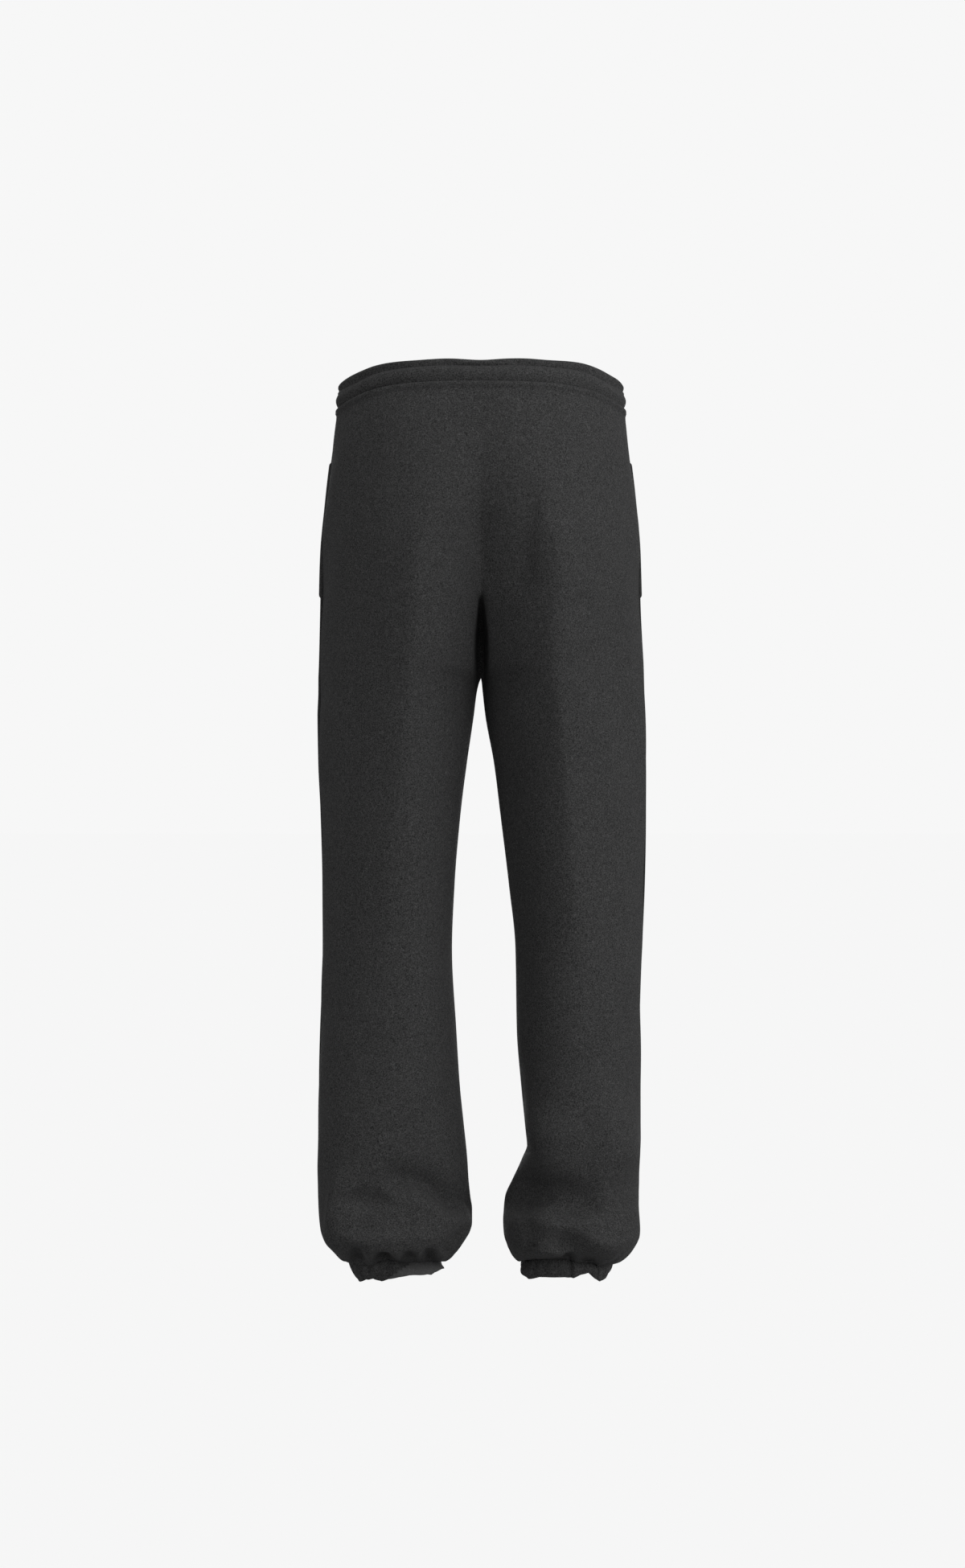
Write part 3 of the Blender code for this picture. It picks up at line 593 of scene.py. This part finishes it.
def makeRibGroup():
    # the lengthwise ribs that an elastic draws up in its casing
    group, given, result = newTree(
        "drawnRibs", "ShaderNodeTree", {"Vector": ("Vector", None), "Ribs": ("Float", patterns["ribs"])},
        {"Height": ("Float", None)})
    longer = (1.0, patterns["ribStretch"], 1.0)
    stretch = addNode(group, "ShaderNodeMapping", {"Vector": given["Vector"], "Scale": longer})
    height = noiseNode(group, stretch.outputs[0], given["Ribs"], detail=1.0, roughness=0.5)
    feed(group, result["Height"], height)
    return group


fleeceGroup, wovenGroup, ribGroup = makeFleeceGroup(), makeWovenGroup(), makeRibGroup()


def placeGroup(tree, group, inputs):
    return addNode(tree, "ShaderNodeGroup", inputs, node_tree=group).outputs


finish = {
    "charcoal": (0.0300, 0.0300, 0.0302),
    "inside": (0.054, 0.054, 0.0545),
    "pocketing": (0.024, 0.024, 0.026),
    "thread": (0.026, 0.026, 0.027),
    "specular": 0.12,
    "sheenTint": (0.75, 0.75, 0.77, 1.0),
    "fleeceRoughness": 0.95,
    "napRoughness": (0.98, 0.86),      # from the dark of the nap to its light
    "napShades": (0.7, 1.3),
    "napBump": 0.0006,
    "ribBump": 0.0008,
    "threadBump": 0.0002,
    "threadTwist": 2400.0,
    "twistFrom": (0.3, 0.7),
    "twistShades": (0.75, 1.25),
}


def makeCloth(name, roughness, sheen, sheenRoughness):
    material = bpy.data.materials.new(name)
    material.use_nodes = True
    tree = material.node_tree
    shader = tree.nodes["Principled BSDF"].inputs
    values = {"Roughness": roughness, "Metallic": 0.0, "Specular IOR Level": finish["specular"],
              "Sheen Weight": sheen, "Sheen Roughness": sheenRoughness, "Sheen Tint": finish["sheenTint"]}
    for socketName, value in values.items():
        shader[socketName].default_value = value
    return material, tree, shader, addNode(tree, "ShaderNodeTexCoord", {}).outputs


def finishCloth(tree, shader, shade, colour, normal):
    scaled = addNode(tree, "ShaderNodeVectorMath", {0: colour, "Scale": shade}, operation="SCALE")
    feed(tree, shader["Base Color"], scaled.outputs["Vector"])
    feed(tree, shader["Normal"], normal)


def bumpNode(tree, height, strength, distance, before=None):
    inputs = {"Height": height, "Strength": strength, "Distance": distance}
    if before is not None:
        inputs["Normal"] = before
    return addNode(tree, "ShaderNodeBump", inputs).outputs["Normal"]


def makeFleece(name, colour, grainShade, fibreShade, bump, ribs=0.0, sheen=0.03):
    material, tree, shader, spots = makeCloth(name, finish["fleeceRoughness"], sheen, sheenRoughness=0.5)
    fuzz = placeGroup(tree, fleeceGroup, {"Vector": spots["Object"], "Grain Shade": grainShade,
                                          "Fibre Shade": fibreShade})
    normal = bumpNode(tree, fuzz["Height"], bump, finish["napBump"])
    if ribs > 0.0:
        drawn = placeGroup(tree, ribGroup, {"Vector": spots["UV"]})
        normal = bumpNode(tree, drawn["Height"], ribs, finish["ribBump"], normal)
    finishCloth(tree, shader, fuzz["Shade"], colour, normal)
    roughness = mapRange(tree, fuzz["Shade"], *finish["napShades"], *finish["napRoughness"])
    feed(tree, shader["Roughness"], roughness)
    return material


def makePocketing(name, colour):
    material, tree, shader, spots = makeCloth(name, roughness=0.8, sheen=0.02, sheenRoughness=0.3)
    weave = placeGroup(tree, wovenGroup, {"Vector": spots["UV"]})
    normal = bumpNode(tree, weave["Height"], strength=0.4, distance=finish["threadBump"])
    finishCloth(tree, shader, weave["Shade"], colour, normal)
    return material


def makeThread(name, colour):
    material, tree, shader, spots = makeCloth(name, roughness=0.6, sheen=0.05, sheenRoughness=0.3)
    twist = noiseNode(tree, spots["Object"], finish["threadTwist"], detail=1.0, roughness=0.5)
    normal = bumpNode(tree, twist, strength=0.3, distance=finish["threadBump"])
    shade = mapRange(tree, twist, *finish["twistFrom"], *finish["twistShades"])
    finishCloth(tree, shader, shade, colour, normal)
    return material


faceLook = {"colour": finish["charcoal"], "grainShade": 3.8, "fibreShade": 0.8, "bump": 0.5}
faceFleece = makeFleece("charcoalFleece", **faceLook)
insideLook = {"colour": finish["inside"], "grainShade": 1.1, "fibreShade": 0.5, "bump": 0.6}
innerFleece = makeFleece("brushedInside", **insideLook, sheen=0.1)
bandFleece = makeFleece("waistbandFleece", **faceLook, ribs=0.25)
hemFleece = makeFleece("hemFleece", **faceLook, ribs=0.2)
pocketCotton = makePocketing("pocketCotton", finish["pocketing"])
sewingThread = makeThread("charcoalThread", finish["thread"])
print("materials made")


def panelStops(length):
    # distances across a panel, close together by the seams
    near = np.array(legs["nearSeam"])
    middle = np.linspace(near[-1], length - near[-1], legs["columns"] - 2 * len(near) + 2)
    return np.concatenate((near[:-1], middle, length - near[-2::-1]))


def dressedPanel(leg, face):
    plain = surfacePoints(leg, face, rowHeights(rowZones, legs["top"]), panelStops)
    return dressSurface(leg, face, *plain)[0], *plain[1:]


dressed = {(leg, face): dressedPanel(leg, face) for leg in legSides for face in (back, front)}


def makePanel(name, leg, face):
    outside, fromSide, toInner, levels = dressed[leg, face]
    # above the crotch both halves bend to one line on the middle plane
    step = (dressed[otherLeg[leg], face][0][:, -1:, 1:] - outside[:, -1:, 1:]) / 2.0
    share = (1.0 - smooth(0.0, riseSoft["reach"][0], toInner)) * smooth(crotch, riseSoft["bottom"], levels)
    outside = outside.copy()
    outside[..., 1:] += share[..., None] * step
    inside = outside - gridNormals(outside, face) * cloth["wall"]
    inside[..., 0] = np.maximum(inside[..., 0], 0.0)
    return shellMesh(name, outside, inside, fromSide, levels, legSides[leg], (faceFleece, innerFleece))


panels = {}
for leg in legSides:
    panels["back_leg_" + leg] = makePanel("backLeg" + leg.title(), leg, back)
    panels["front_leg_" + leg] = makePanel("frontLeg" + leg.title(), leg, front)
print("leg panels made")

waistband = {
    "height": 28.0,
    "halfWidth": 164.5,        # across the hips
    "backDepth": 114.0, "frontDepth": 110.0,
    "growth": 1.5,             # how much deeper it is at the seam than at the top
    "power": 2.12, "loopSteps": 2881, "ringPoints": 560,
    "waves": 7, "waveCounts": (9, 30), "waveHeight": 0.09, "seed": 3,      # the slight unevenness round it
    "backFades": 40.0,         # dents and lifts fade out towards the sides
    "liftFades": 9.0,
    "innerFrom": -6.0,         # what stands out less than this takes the map of the inside
    "innerMap": 60.0,
}
# The outer face of the band from its top edge down: each drop with how far it stands out.
bandFace = ((0.0, -9.8), (0.3, -8.6), (1.0, -7.6), (2.2, -6.9), (3.8, -6.7), (5.4, -6.9), (7.0, -7.4),
            (8.0, -7.7), (8.6, -6.8), (9.1, -5.0), (9.8, -3.4), (11.1, -1.9), (13.0, -0.5), (15.0, 0.5),
            (17.3, 1.2), (19.8, 1.2), (22.5, 0.5), (24.8, -0.5), (26.6, -1.4), (28.0, -1.8), (30.5, -2.3))
bandInside = ((30.0, -6.4), (25.0, -7.6), (18.0, -8.4), (11.0, -10.6), (7.0, -12.0), (3.0, -12.0),
              (0.8, -11.6))
# Soft dents and bulges on the back: the place across, the drop, the reach across and down, and the depth.
bandDents = ((-42, 4, 16, 5, -1.5), (38, 4, 12, 5, -1.2), (-78, 21, 24, 6, -1.2), (-42, 18, 12, 6, -1.4),
             (-58, 18, 5, 6, -1.0), (-128, 18, 26, 6, -1.0), (96, 21, 22, 6, -0.5), (70, 26, 100, 5, 1.6),
             (-120, 27, 48, 4.5, -2.2), (-115, 6, 42, 3.5, -2.5), (-2, 4, 26, 4, 1.5))
# The top edge rises and falls: the place across, the reach and the lift.
bandLifts = ((-118, 40, 1.6), (-42, 26, 1.3), (0, 22, -1.2), (46, 30, 1.6), (122, 36, 3.0))
# The rolls sag near the sides, and the top roll stands out less far in there.
bandSlack = {"sag": 4.0, "depthAt": 54.0, "width": 24.0, "drop": 11.0, "height": 9.0}
bandFill = {"amount": 5.6, "depthTo": 46.0, "height": 9.0}
bandGroove = {"amount": 2.4, "drop": 8.3, "height": 1.7}


def waistLoop(depthBack, depthFront):
    # points all round the waist, evenly spaced, with their level outward directions
    angles = np.linspace(0.0, fullTurn, waistband["loopSteps"])
    power = 2.0 / waistband["power"]
    cosine, sine = np.cos(angles), np.sin(angles)
    depth = np.where(sine < 0.0, depthBack, depthFront)
    x = waistband["halfWidth"] * np.sign(cosine) * np.abs(cosine) ** power
    y = depth * np.sign(sine) * np.abs(sine) ** power
    lengths = runLengths(x, y)
    at = np.linspace(0.0, lengths[-1], waistband["ringPoints"], endpoint=False)
    ring = np.stack([np.interp(at, lengths, x), np.interp(at, lengths, y)], axis=-1)
    along = unit(np.roll(ring, -1, axis=0) - np.roll(ring, 1, axis=0))
    return ring, np.stack([along[:, 1], -along[:, 0]], axis=-1), at


def bandShape(x, y, drop):
    # how far the dents, the top edge's lifts, the filled sides and the sag move the band's face at a drop
    onBack = smooth(0.0, waistband["backFades"], -y)
    dent = sum(depth * bell(x, place, width) * bell(drop, middle, height)
               for place, middle, width, height, depth in bandDents)
    lift = sum(amount * bell(x, place, width) for place, width, amount in bandLifts)
    groove = bandGroove["amount"] * bell(drop, bandGroove["drop"], bandGroove["height"])
    fill = bandFill["amount"] * math.exp(-(drop / bandFill["height"]) ** 4) + groove
    sag = bandSlack["sag"] * bell(np.abs(y), bandSlack["depthAt"], bandSlack["width"])
    sag *= bell(drop, bandSlack["drop"], bandSlack["height"])
    raised = lift * onBack * bell(drop, 0.0, waistband["liftFades"]) - sag
    return dent * onBack + fill * bell(y, 0.0, bandFill["depthTo"]), raised


def makeWaistband(name):
    loops, maps = [], []
    rng = np.random.default_rng(waistband["seed"])
    waves = [(rng.integers(*waistband["waveCounts"]), rng.uniform(0.0, fullTurn))
             for _ in range(waistband["waves"])]
    for drop, stand in bandFace + bandInside:
        down = drop / waistband["height"]
        depthBack = waistband["backDepth"] + waistband["growth"] * down
        depthFront = waistband["frontDepth"] + waistband["growth"] * down
        ring, outward, at = waistLoop(depthBack, depthFront)
        turn = at / at[-1] * fullTurn
        uneven = sum(np.sin(count * turn + phase) for count, phase in waves) * waistband["waveHeight"]
        out, raised = bandShape(*ring.T, drop)
        level = ring + outward * (stand + out + uneven)[:, None]
        depth = np.where(ring[:, 1] < 0.0, depthBack, depthFront)
        z = -drop + waistRise(ring[:, 1], depth, legs["top"], down) + raised
        loops.append(np.stack([level[:, 0], level[:, 1], z], axis=-1))
        offMap = waistband["innerMap"] if stand < waistband["innerFrom"] else 0.0
        maps.append(np.stack([at, np.full(len(at), drop + offMap)], axis=-1))
    return ringMesh(name, np.array(loops), np.array(maps), len(bandFace), (bandFleece, innerFleece))


bandPiece = makeWaistband("elasticWaistband")
print("waistband made")

casing = {
    "top": -999.0,
    "height": 15.5,
    "points": 360,
    "gatherShare": 0.55,       # what is left of the gathers at the lower edge
    "flareBend": 0.6,          # below 1 the flare starts at once under the seam
}
# The casing's outside and inside from its top down: each drop with how far it stands out.
casingFace = ((-3.0, -3.6), (-2.0, -2.6), (-0.8, -1.5), (0.6, -0.3), (2.2, 0.8), (4.5, 1.7), (7.5, 2.1),
              (10.5, 1.8), (13.0, 1.1), (14.8, 0.1), (15.5, -1.2))
casingInside = ((15.5, -3.0), (14.0, -4.4), (8.0, -4.8), (1.0, -4.8), (-2.2, -4.8))
# Half its width and depth at the top and at the lower edge.
casingSizes = {
    "left": {"top": (52.5, 55.0), "edge": (48.0, 51.0)},
    "right": {"top": (52.0, 55.0), "edge": (48.5, 51.0)},
}
# The lower edge at the back: the distance from the middle plane and how far it is below the plain edge.
lowerEdges = {
    "left": ((44, -10), (50, -9), (56, -6), (60, -7), (64, -7), (80, -8), (92, -6), (104, -2), (112, 1.8),
             (122, 0.2), (130, 2.6), (138, 7), (146, 4.5), (154, -2)),
    "right": ((46, -2.5), (54, 0.6), (60, -1), (66, -3.8), (78, -4.6), (94, -5.2), (104, -3.6), (112, -7),
              (121, -8.5), (129, -0.6), (135, 4.4), (142, 3), (150, -4)),
}
# At the front it waves as the seam does.
edgeWaves = {"level": -1.0, "left": ((1.6, 7, 5.571), (1.0, 3, 2.571)),
             "right": ((1.6, 7, 6.571), (1.0, 3, 2.571))}
# How far the lower edge at the back stands out, by the distance from the middle plane.
flares = {
    "left": ((44, 12), (54, 16), (92, 15), (104, 4), (114, -3), (150, -3)),
    "right": ((48, 10), (88, 10), (100, 7), (126, 5), (136, 0), (150, 0)),
}
stillFront = {"level": 0.0, "left": (), "right": ()}
# Painted highlight: the inner half of the left hem's back takes the lighter brushed-inside fleece, with no
# roll in its shape, where light falls on it. These are how far from the middle plane that reaches at the top
# of the casing and at its lower edge.
paintedLitHem = {"left": (80.0, 106.0), "right": (0.0, 0.0)}


def makeCasing(name, leg):
    turn = np.linspace(0.0, fullTurn, casing["points"], endpoint=False)
    gather = gatherDepth(leg, turn)
    topSize, edgeSize = (np.array(casingSizes[leg][end]) for end in ("top", "edge"))
    loops, maps = [], []
    for drop, stand in casingFace + casingInside:
        low = max(drop / casing["height"], 0.0)
        drawn = gather * (1.0 - (1.0 - casing["gatherShare"]) * low)
        halfWidth, halfDepth = topSize + (edgeSize - topSize) * low + stand
        x = ankle["centre"] + (halfWidth - drawn) * np.cos(turn)
        flare = backOrFront(leg, x, turn, flares, stillFront) * low ** casing["flareBend"]
        x += flare * np.cos(turn)
        y = (halfDepth - drawn + flare) * np.sin(turn)
        lower = backOrFront(leg, x, turn, lowerEdges, edgeWaves) * low
        raised = backOrFront(leg, x, turn, seamLifts, seamWaves) * (1.0 - low)
        loops.append(np.stack([x * legSides[leg], y, casing["top"] - drop - lower + raised], axis=-1))
        around = turn * (halfWidth + halfDepth) / 2.0
        maps.append(np.stack([around, np.full(len(turn), drop)], axis=-1))
    loops = np.array(loops)
    # painted highlight: the lighter inside fleece goes where the hem is lit, not where any cloth rolls out
    share = np.array([drop for drop, _ in casingFace + casingInside])[:, None] / casing["height"]
    paintedLitEnd = paintedLitHem[leg][0] + (paintedLitHem[leg][1] - paintedLitHem[leg][0]) * share
    paintedLitMask = (np.abs(loops[..., 0]) < paintedLitEnd) & (loops[..., 1] < 0.0)
    return ringMesh(name, loops, np.array(maps), len(casingFace), (hemFleece, innerFleece), paintedLitMask)


casings = {leg: makeCasing("hemCasing" + leg.title(), leg) for leg in legSides}
print("hem casings made")

pocket = {
    "top": -88.0, "mouth": 154.0, "edgeRows": 110,
    "edgeStops": ((0.0, 2.0, 5), (3.0, 21.5, 20), (22.2, 24.0, 5)),     # across it: from, to and how many
    "edgeSoft": (3, 4),                        # the rows and columns that round its rim
    "edgeWall": 1.8, "edgeRim": 0.4,           # how thick it is inside and at its rim
    "stitchedAt": (15.0, 19.5),                # from the side seam
    "stitchDip": 0.35, "stitchWidth": 1.1,
    "bagTop": -76.0, "bagBottom": -306.0, "bagFrom": 6.0, "bagWidth": 128.0,
    "bagGrid": (90, 50), "bagSoft": (3, 3), "bagWall": 2.0, "bagRim": 0.9, "bagClearance": 0.9,
    "cornerFrom": 0.72, "cornerCut": 0.62,     # shares down the bag and across it, for its lower corner
}


def patchSurface(leg, heights, distances, cutBack=None):
    # part of the front panel's surface between two distances from the side seam
    row = iter(range(len(heights)))

    def stopsAt(_):
        share = 1.0 if cutBack is None else cutBack[next(row)]
        return distances[0] + (distances - distances[0]) * share

    points, fromSide, toInner, levels = surfacePoints(leg, front, heights, stopsAt)
    return (*dressSurface(leg, front, points, fromSide, toInner, levels), fromSide, levels)


def rimShare(counts, softs):
    # 0 along the rim of a layer and 1 inside, for rounding it
    shares = []
    for count, soft in zip(counts, softs):
        place = np.minimum(np.arange(count), np.arange(count)[::-1])
        shares.append(np.sqrt(1.0 - (1.0 - np.clip(place / soft, 0.0, 1.0)) ** 2))
    return shares[0][:, None] * shares[1][None, :]


def makePocketEdge(name, leg):
    # a flat band of the face cloth beside the pocket's mouth
    heights = np.linspace(pocket["top"], pocket["top"] - pocket["mouth"], pocket["edgeRows"])
    distances = np.concatenate([np.linspace(*stops) for stops in pocket["edgeStops"]])
    inside, normals, fromSide, levels = patchSurface(leg, heights, distances)
    dips = sum(bell(fromSide, place, pocket["stitchWidth"]) for place in pocket["stitchedAt"])
    fullWall = pocket["edgeWall"] - pocket["edgeRim"] - pocket["stitchDip"] * dips
    wall = pocket["edgeRim"] + fullWall * rimShare(fromSide.shape, pocket["edgeSoft"])
    outside = inside + normals * wall[..., None]
    return shellMesh(name, outside, inside, fromSide, levels, legSides[leg], (faceFleece, faceFleece))


def makePocketBag(name, leg):
    # a flat bag of cotton behind the front panel
    rows, columns = pocket["bagGrid"]
    share = np.linspace(0.0, 1.0, rows)
    heights = pocket["bagTop"] + (pocket["bagBottom"] - pocket["bagTop"]) * share
    corner = np.clip((share - pocket["cornerFrom"]) / (1.0 - pocket["cornerFrom"]), 0.0, 1.0)
    corner = np.sqrt(1.0 - corner ** 2 * pocket["cornerCut"])
    distances = np.linspace(pocket["bagFrom"], pocket["bagWidth"], columns)
    points, normals, fromSide, levels = patchSurface(leg, heights, distances, corner)
    outside = points - normals * (cloth["wall"] + pocket["bagClearance"])
    rounded = rimShare(pocket["bagGrid"], pocket["bagSoft"])
    wall = pocket["bagRim"] + (pocket["bagWall"] - pocket["bagRim"]) * rounded
    inside = outside - normals * wall[..., None]
    return shellMesh(name, outside, inside, fromSide, levels, legSides[leg], (pocketCotton, pocketCotton))


pocketEdges = {leg: makePocketEdge("pocketEdge" + leg.title(), leg) for leg in legSides}
pocketBags = {leg: makePocketBag("pocketBag" + leg.title(), leg) for leg in legSides}
print("pockets made")

stitch = {
    "pitch": 3.1, "length": 2.4, "radius": 0.28, "lift": 0.10,
    "segments": 6, "rings": 5,
    "waistRows": (5.0, 7.4),                   # below the band seam
    "pocketPoints": 60, "pocketMargin": 2.0,   # from the ends of the pocket's mouth
    "nextRow": 0.5, "nextColumn": 1.0,         # each row is laid on three lines of the cloth, this far apart
}


def makeStitchTree():
    # a thin ball for each stitch along a path, turned to lie on the cloth
    tree, given, result = newTree(
        "stitchRow", "GeometryNodeTree",
        {"Geometry": ("Geometry", None), "Pitch": ("Float", 0.003), "Stitch Length": ("Float", 0.0024),
         "Thread Radius": ("Float", 0.0003), "Thread": ("Material", None)}, {"Geometry": ("Geometry", None)})
    node = partial(addNode, tree)
    curve = node("GeometryNodeMeshToCurve", {"Mesh": given["Geometry"]}).outputs["Curve"]
    points = node("GeometryNodeResampleCurve", {"Curve": curve, "Length": given["Pitch"]}, mode="LENGTH")
    facing = node("GeometryNodeInputNamedAttribute", {"Name": "facing"}, data_type="FLOAT_VECTOR")
    tangent = node("GeometryNodeInputTangent", {}).outputs["Tangent"]
    along = node("FunctionNodeAlignRotationToVector", {"Vector": tangent}, axis="X").outputs["Rotation"]
    turned = node("FunctionNodeAlignRotationToVector",
                  {"Rotation": along, "Vector": facing.outputs["Attribute"]}, axis="Z", pivot_axis="X")
    ball = node("GeometryNodeMeshUVSphere",
                {"Segments": stitch["segments"], "Rings": stitch["rings"], "Radius": 0.5})
    thick = mathNode(tree, "MULTIPLY", given["Thread Radius"], 2.0)
    size = node("ShaderNodeCombineXYZ", {"X": given["Stitch Length"], "Y": thick, "Z": thick})
    place = node("GeometryNodeInstanceOnPoints",
                 {"Points": points.outputs["Curve"], "Instance": ball.outputs["Mesh"],
                  "Rotation": turned.outputs["Rotation"], "Scale": size.outputs["Vector"]})
    real = node("GeometryNodeRealizeInstances", {"Geometry": place.outputs["Instances"]}).outputs["Geometry"]
    dress = node("GeometryNodeSetMaterial", {"Geometry": real, "Material": given["Thread"]})
    feed(tree, result["Geometry"], dress.outputs["Geometry"])
    return tree


def stitchLines():
    # every row of stitches as points and outward normals in millimetres
    lines = []
    for leg, side in legSides.items():
        mirror, beside = np.array([side, 1.0, 1.0]), np.array([-1.0, 0.0, 1.0])
        for face in (back, front):
            for drop in stitch["waistRows"]:
                heights = legs["top"] - drop - beside * stitch["nextRow"]
                points, normals = dressSurface(leg, face, *surfacePoints(leg, face, heights, panelStops))
                lines.append((points[1] * mirror, normals[1] * mirror))
        margin = stitch["pocketMargin"]
        ends = pocket["top"] - margin, pocket["top"] - pocket["mouth"] + margin
        heights = np.linspace(*ends, stitch["pocketPoints"])
        for distance in pocket["stitchedAt"]:
            points, normals, _, _ = patchSurface(leg, heights, distance + beside * stitch["nextColumn"])
            lift = pocket["edgeWall"] - pocket["stitchDip"]
            lines.append(((points[:, 1] + normals[:, 1] * lift) * mirror, normals[:, 1] * mirror))
    return lines


def makeStitches(name):
    verts, edges, facings = [], [], []
    for points, normals in stitchLines():
        start = len(verts)
        verts.extend(((points + normals * stitch["lift"]) * mm).tolist())
        facings.extend(normals.tolist())
        edges.extend((start + i, start + i + 1) for i in range(len(points) - 1))
    mesh = bpy.data.meshes.new(name + "Path")
    mesh.from_pydata(verts, edges, [])
    attribute = mesh.attributes.new("facing", "FLOAT_VECTOR", "POINT")
    attribute.data.foreach_set("vector", np.array(facings, np.float32).ravel())
    path = addObject(name + "Path", mesh)
    modifier = path.modifiers.new("stitches", "NODES")
    modifier.node_group = makeStitchTree()
    values = {"Pitch": stitch["pitch"] * mm, "Stitch Length": stitch["length"] * mm,
              "Thread Radius": stitch["radius"] * mm, "Thread": sewingThread}
    for socket in modifier.node_group.interface.items_tree:
        if socket.item_type == "SOCKET" and socket.in_out == "INPUT" and socket.name in values:
            modifier[socket.identifier] = values[socket.name]
    bpy.context.view_layer.update()
    evaluated = path.evaluated_get(bpy.context.evaluated_depsgraph_get())
    finished = bpy.data.meshes.new_from_object(evaluated)
    path.modifiers.clear()
    bpy.data.objects.remove(path)
    finished.shade_smooth()
    return addObject(name, finished)


stitches = makeStitches("topstitching")
print("stitches made:", len(stitches.data.polygons), "faces")


def takePlace(piece, node):
    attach(piece, "root")
    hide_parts(node)


for node, piece in panels.items():
    takePlace(piece, node)
takePlace(bandPiece, "waistband")
for leg in legSides:
    takePlace(casings[leg], "hem_casing_" + leg)
    takePlace(pocketEdges[leg], "pocket_edge_" + leg)
    takePlace(pocketBags[leg], "pocket_bag_" + leg)
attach(stitches, "root")

print("pieces declared")

stage = {                      # in metres
    "floorHeight": -1.06,
    "floorSize": 60.0,
    "floorColour": (0.02, 0.02, 0.02, 1.0),
    "white": (1.0, 1.0, 1.0, 1.0),
    "pale": 0.93,              # how bright the ground looks, and how much light it gives
    "worldLight": 0.115,
    "floorDarker": 0.01,
    "floorLight": 0.295,
    "lightHeight": -0.5,
}


def seenAndCast(tree, seen, cast):
    # one brightness for the camera and another for the light that it gives
    path = addNode(tree, "ShaderNodeLightPath", {}).outputs
    return mapRange(tree, path["Is Camera Ray"], 0.0, 1.0, cast, seen)


world = bpy.data.worlds.new("studio")
bpy.context.scene.world = world
world.use_nodes = True
worldTree = world.node_tree
background = worldTree.nodes["Background"].inputs
background["Color"].default_value = stage["white"]
feed(worldTree, background["Strength"], seenAndCast(worldTree, stage["pale"], stage["worldLight"]))

half = stage["floorSize"] / 2.0
floorMesh = bpy.data.meshes.new("floor")
corners = ((-half, -half), (half, -half), (half, half), (-half, half))
floorMesh.from_pydata([(x, y, stage["floorHeight"]) for x, y in corners], [], [(0, 1, 2, 3)])
floor = addObject("floor", floorMesh)
paleFloor = bpy.data.materials.new("paleFloor")
paleFloor.use_nodes = True
floorTree = paleFloor.node_tree
floorShader = floorTree.nodes["Principled BSDF"].inputs
floorLook = {"Base Color": stage["floorColour"], "Roughness": 1.0, "Specular IOR Level": 0.0,
             "Emission Color": stage["white"]}
for socketName, value in floorLook.items():
    floorShader[socketName].default_value = value
feed(floorTree, floorShader["Emission Strength"],
     seenAndCast(floorTree, stage["pale"] - stage["floorDarker"], stage["floorLight"]))
floorMesh.materials.append(paleFloor)

# Each lamp by its turn to the right of the camera and its lift, in degrees, its distance, size and power.
lampNames = ("name", "turn", "lift", "distance", "size", "power")
lampRows = (
    ("keyLamp", 40.0, 0.0, 3.2, 1.6, 45.5),
    ("upperKeyLamp", 60.0, 25.0, 3.2, 1.6, 33.0),
    ("rightLamp", 90.0, 0.0, 3.2, 1.6, 21.5),
    ("fillLamp", -40.0, 0.0, 3.2, 1.6, 25.0),
    ("leftLamp", -90.0, 0.0, 3.2, 1.6, 10.5),
    ("middleLamp", 0.0, 25.0, 3.2, 1.6, 11.0),
    ("topLamp", 0.0, 80.0, 3.2, 2.0, 46.0),
    ("behindLamp", 180.0, 8.0, 3.4, 2.4, 70.0),
)
litCloth = bpy.data.collections.new("litCloth")
for group in (panels, casings, pocketEdges, pocketBags, {"band": bandPiece, "stitches": stitches}):
    for piece in group.values():
        litCloth.objects.link(piece)
for row in lampRows:
    lamp = dict(zip(lampNames, row))
    data = bpy.data.lights.new(lamp["name"], "AREA")
    data.shape = "SQUARE"
    data.size = lamp["size"]
    data.energy = lamp["power"]
    item = addObject(lamp["name"], data)
    turn, lift = math.radians(lamp["turn"]), math.radians(lamp["lift"])
    item.location = (lamp["distance"] * math.sin(turn) * math.cos(lift),
                     -lamp["distance"] * math.cos(turn) * math.cos(lift),
                     stage["lightHeight"] + lamp["distance"] * math.sin(lift))
    item.rotation_euler = (math.radians(90.0) - lift, 0.0, turn)
    item.visible_camera = False
    item.light_linking.receiver_collection = litCloth

view = {"lens": 62.2, "sensor": 36.0, "place": (0.00184, -3.1, -0.4554)}
cameraData = bpy.data.cameras.new("camera")
cameraData.sensor_fit = "VERTICAL"
cameraData.sensor_height = view["sensor"]
cameraData.lens = view["lens"]
camera = addObject("camera", cameraData)
camera.location = view["place"]
camera.rotation_euler = (math.radians(90.0), 0.0, 0.0)
bpy.context.scene.camera = camera
bpy.context.scene.view_settings.view_transform = "Standard"
bpy.context.scene.view_settings.look = "None"
print("stage set")
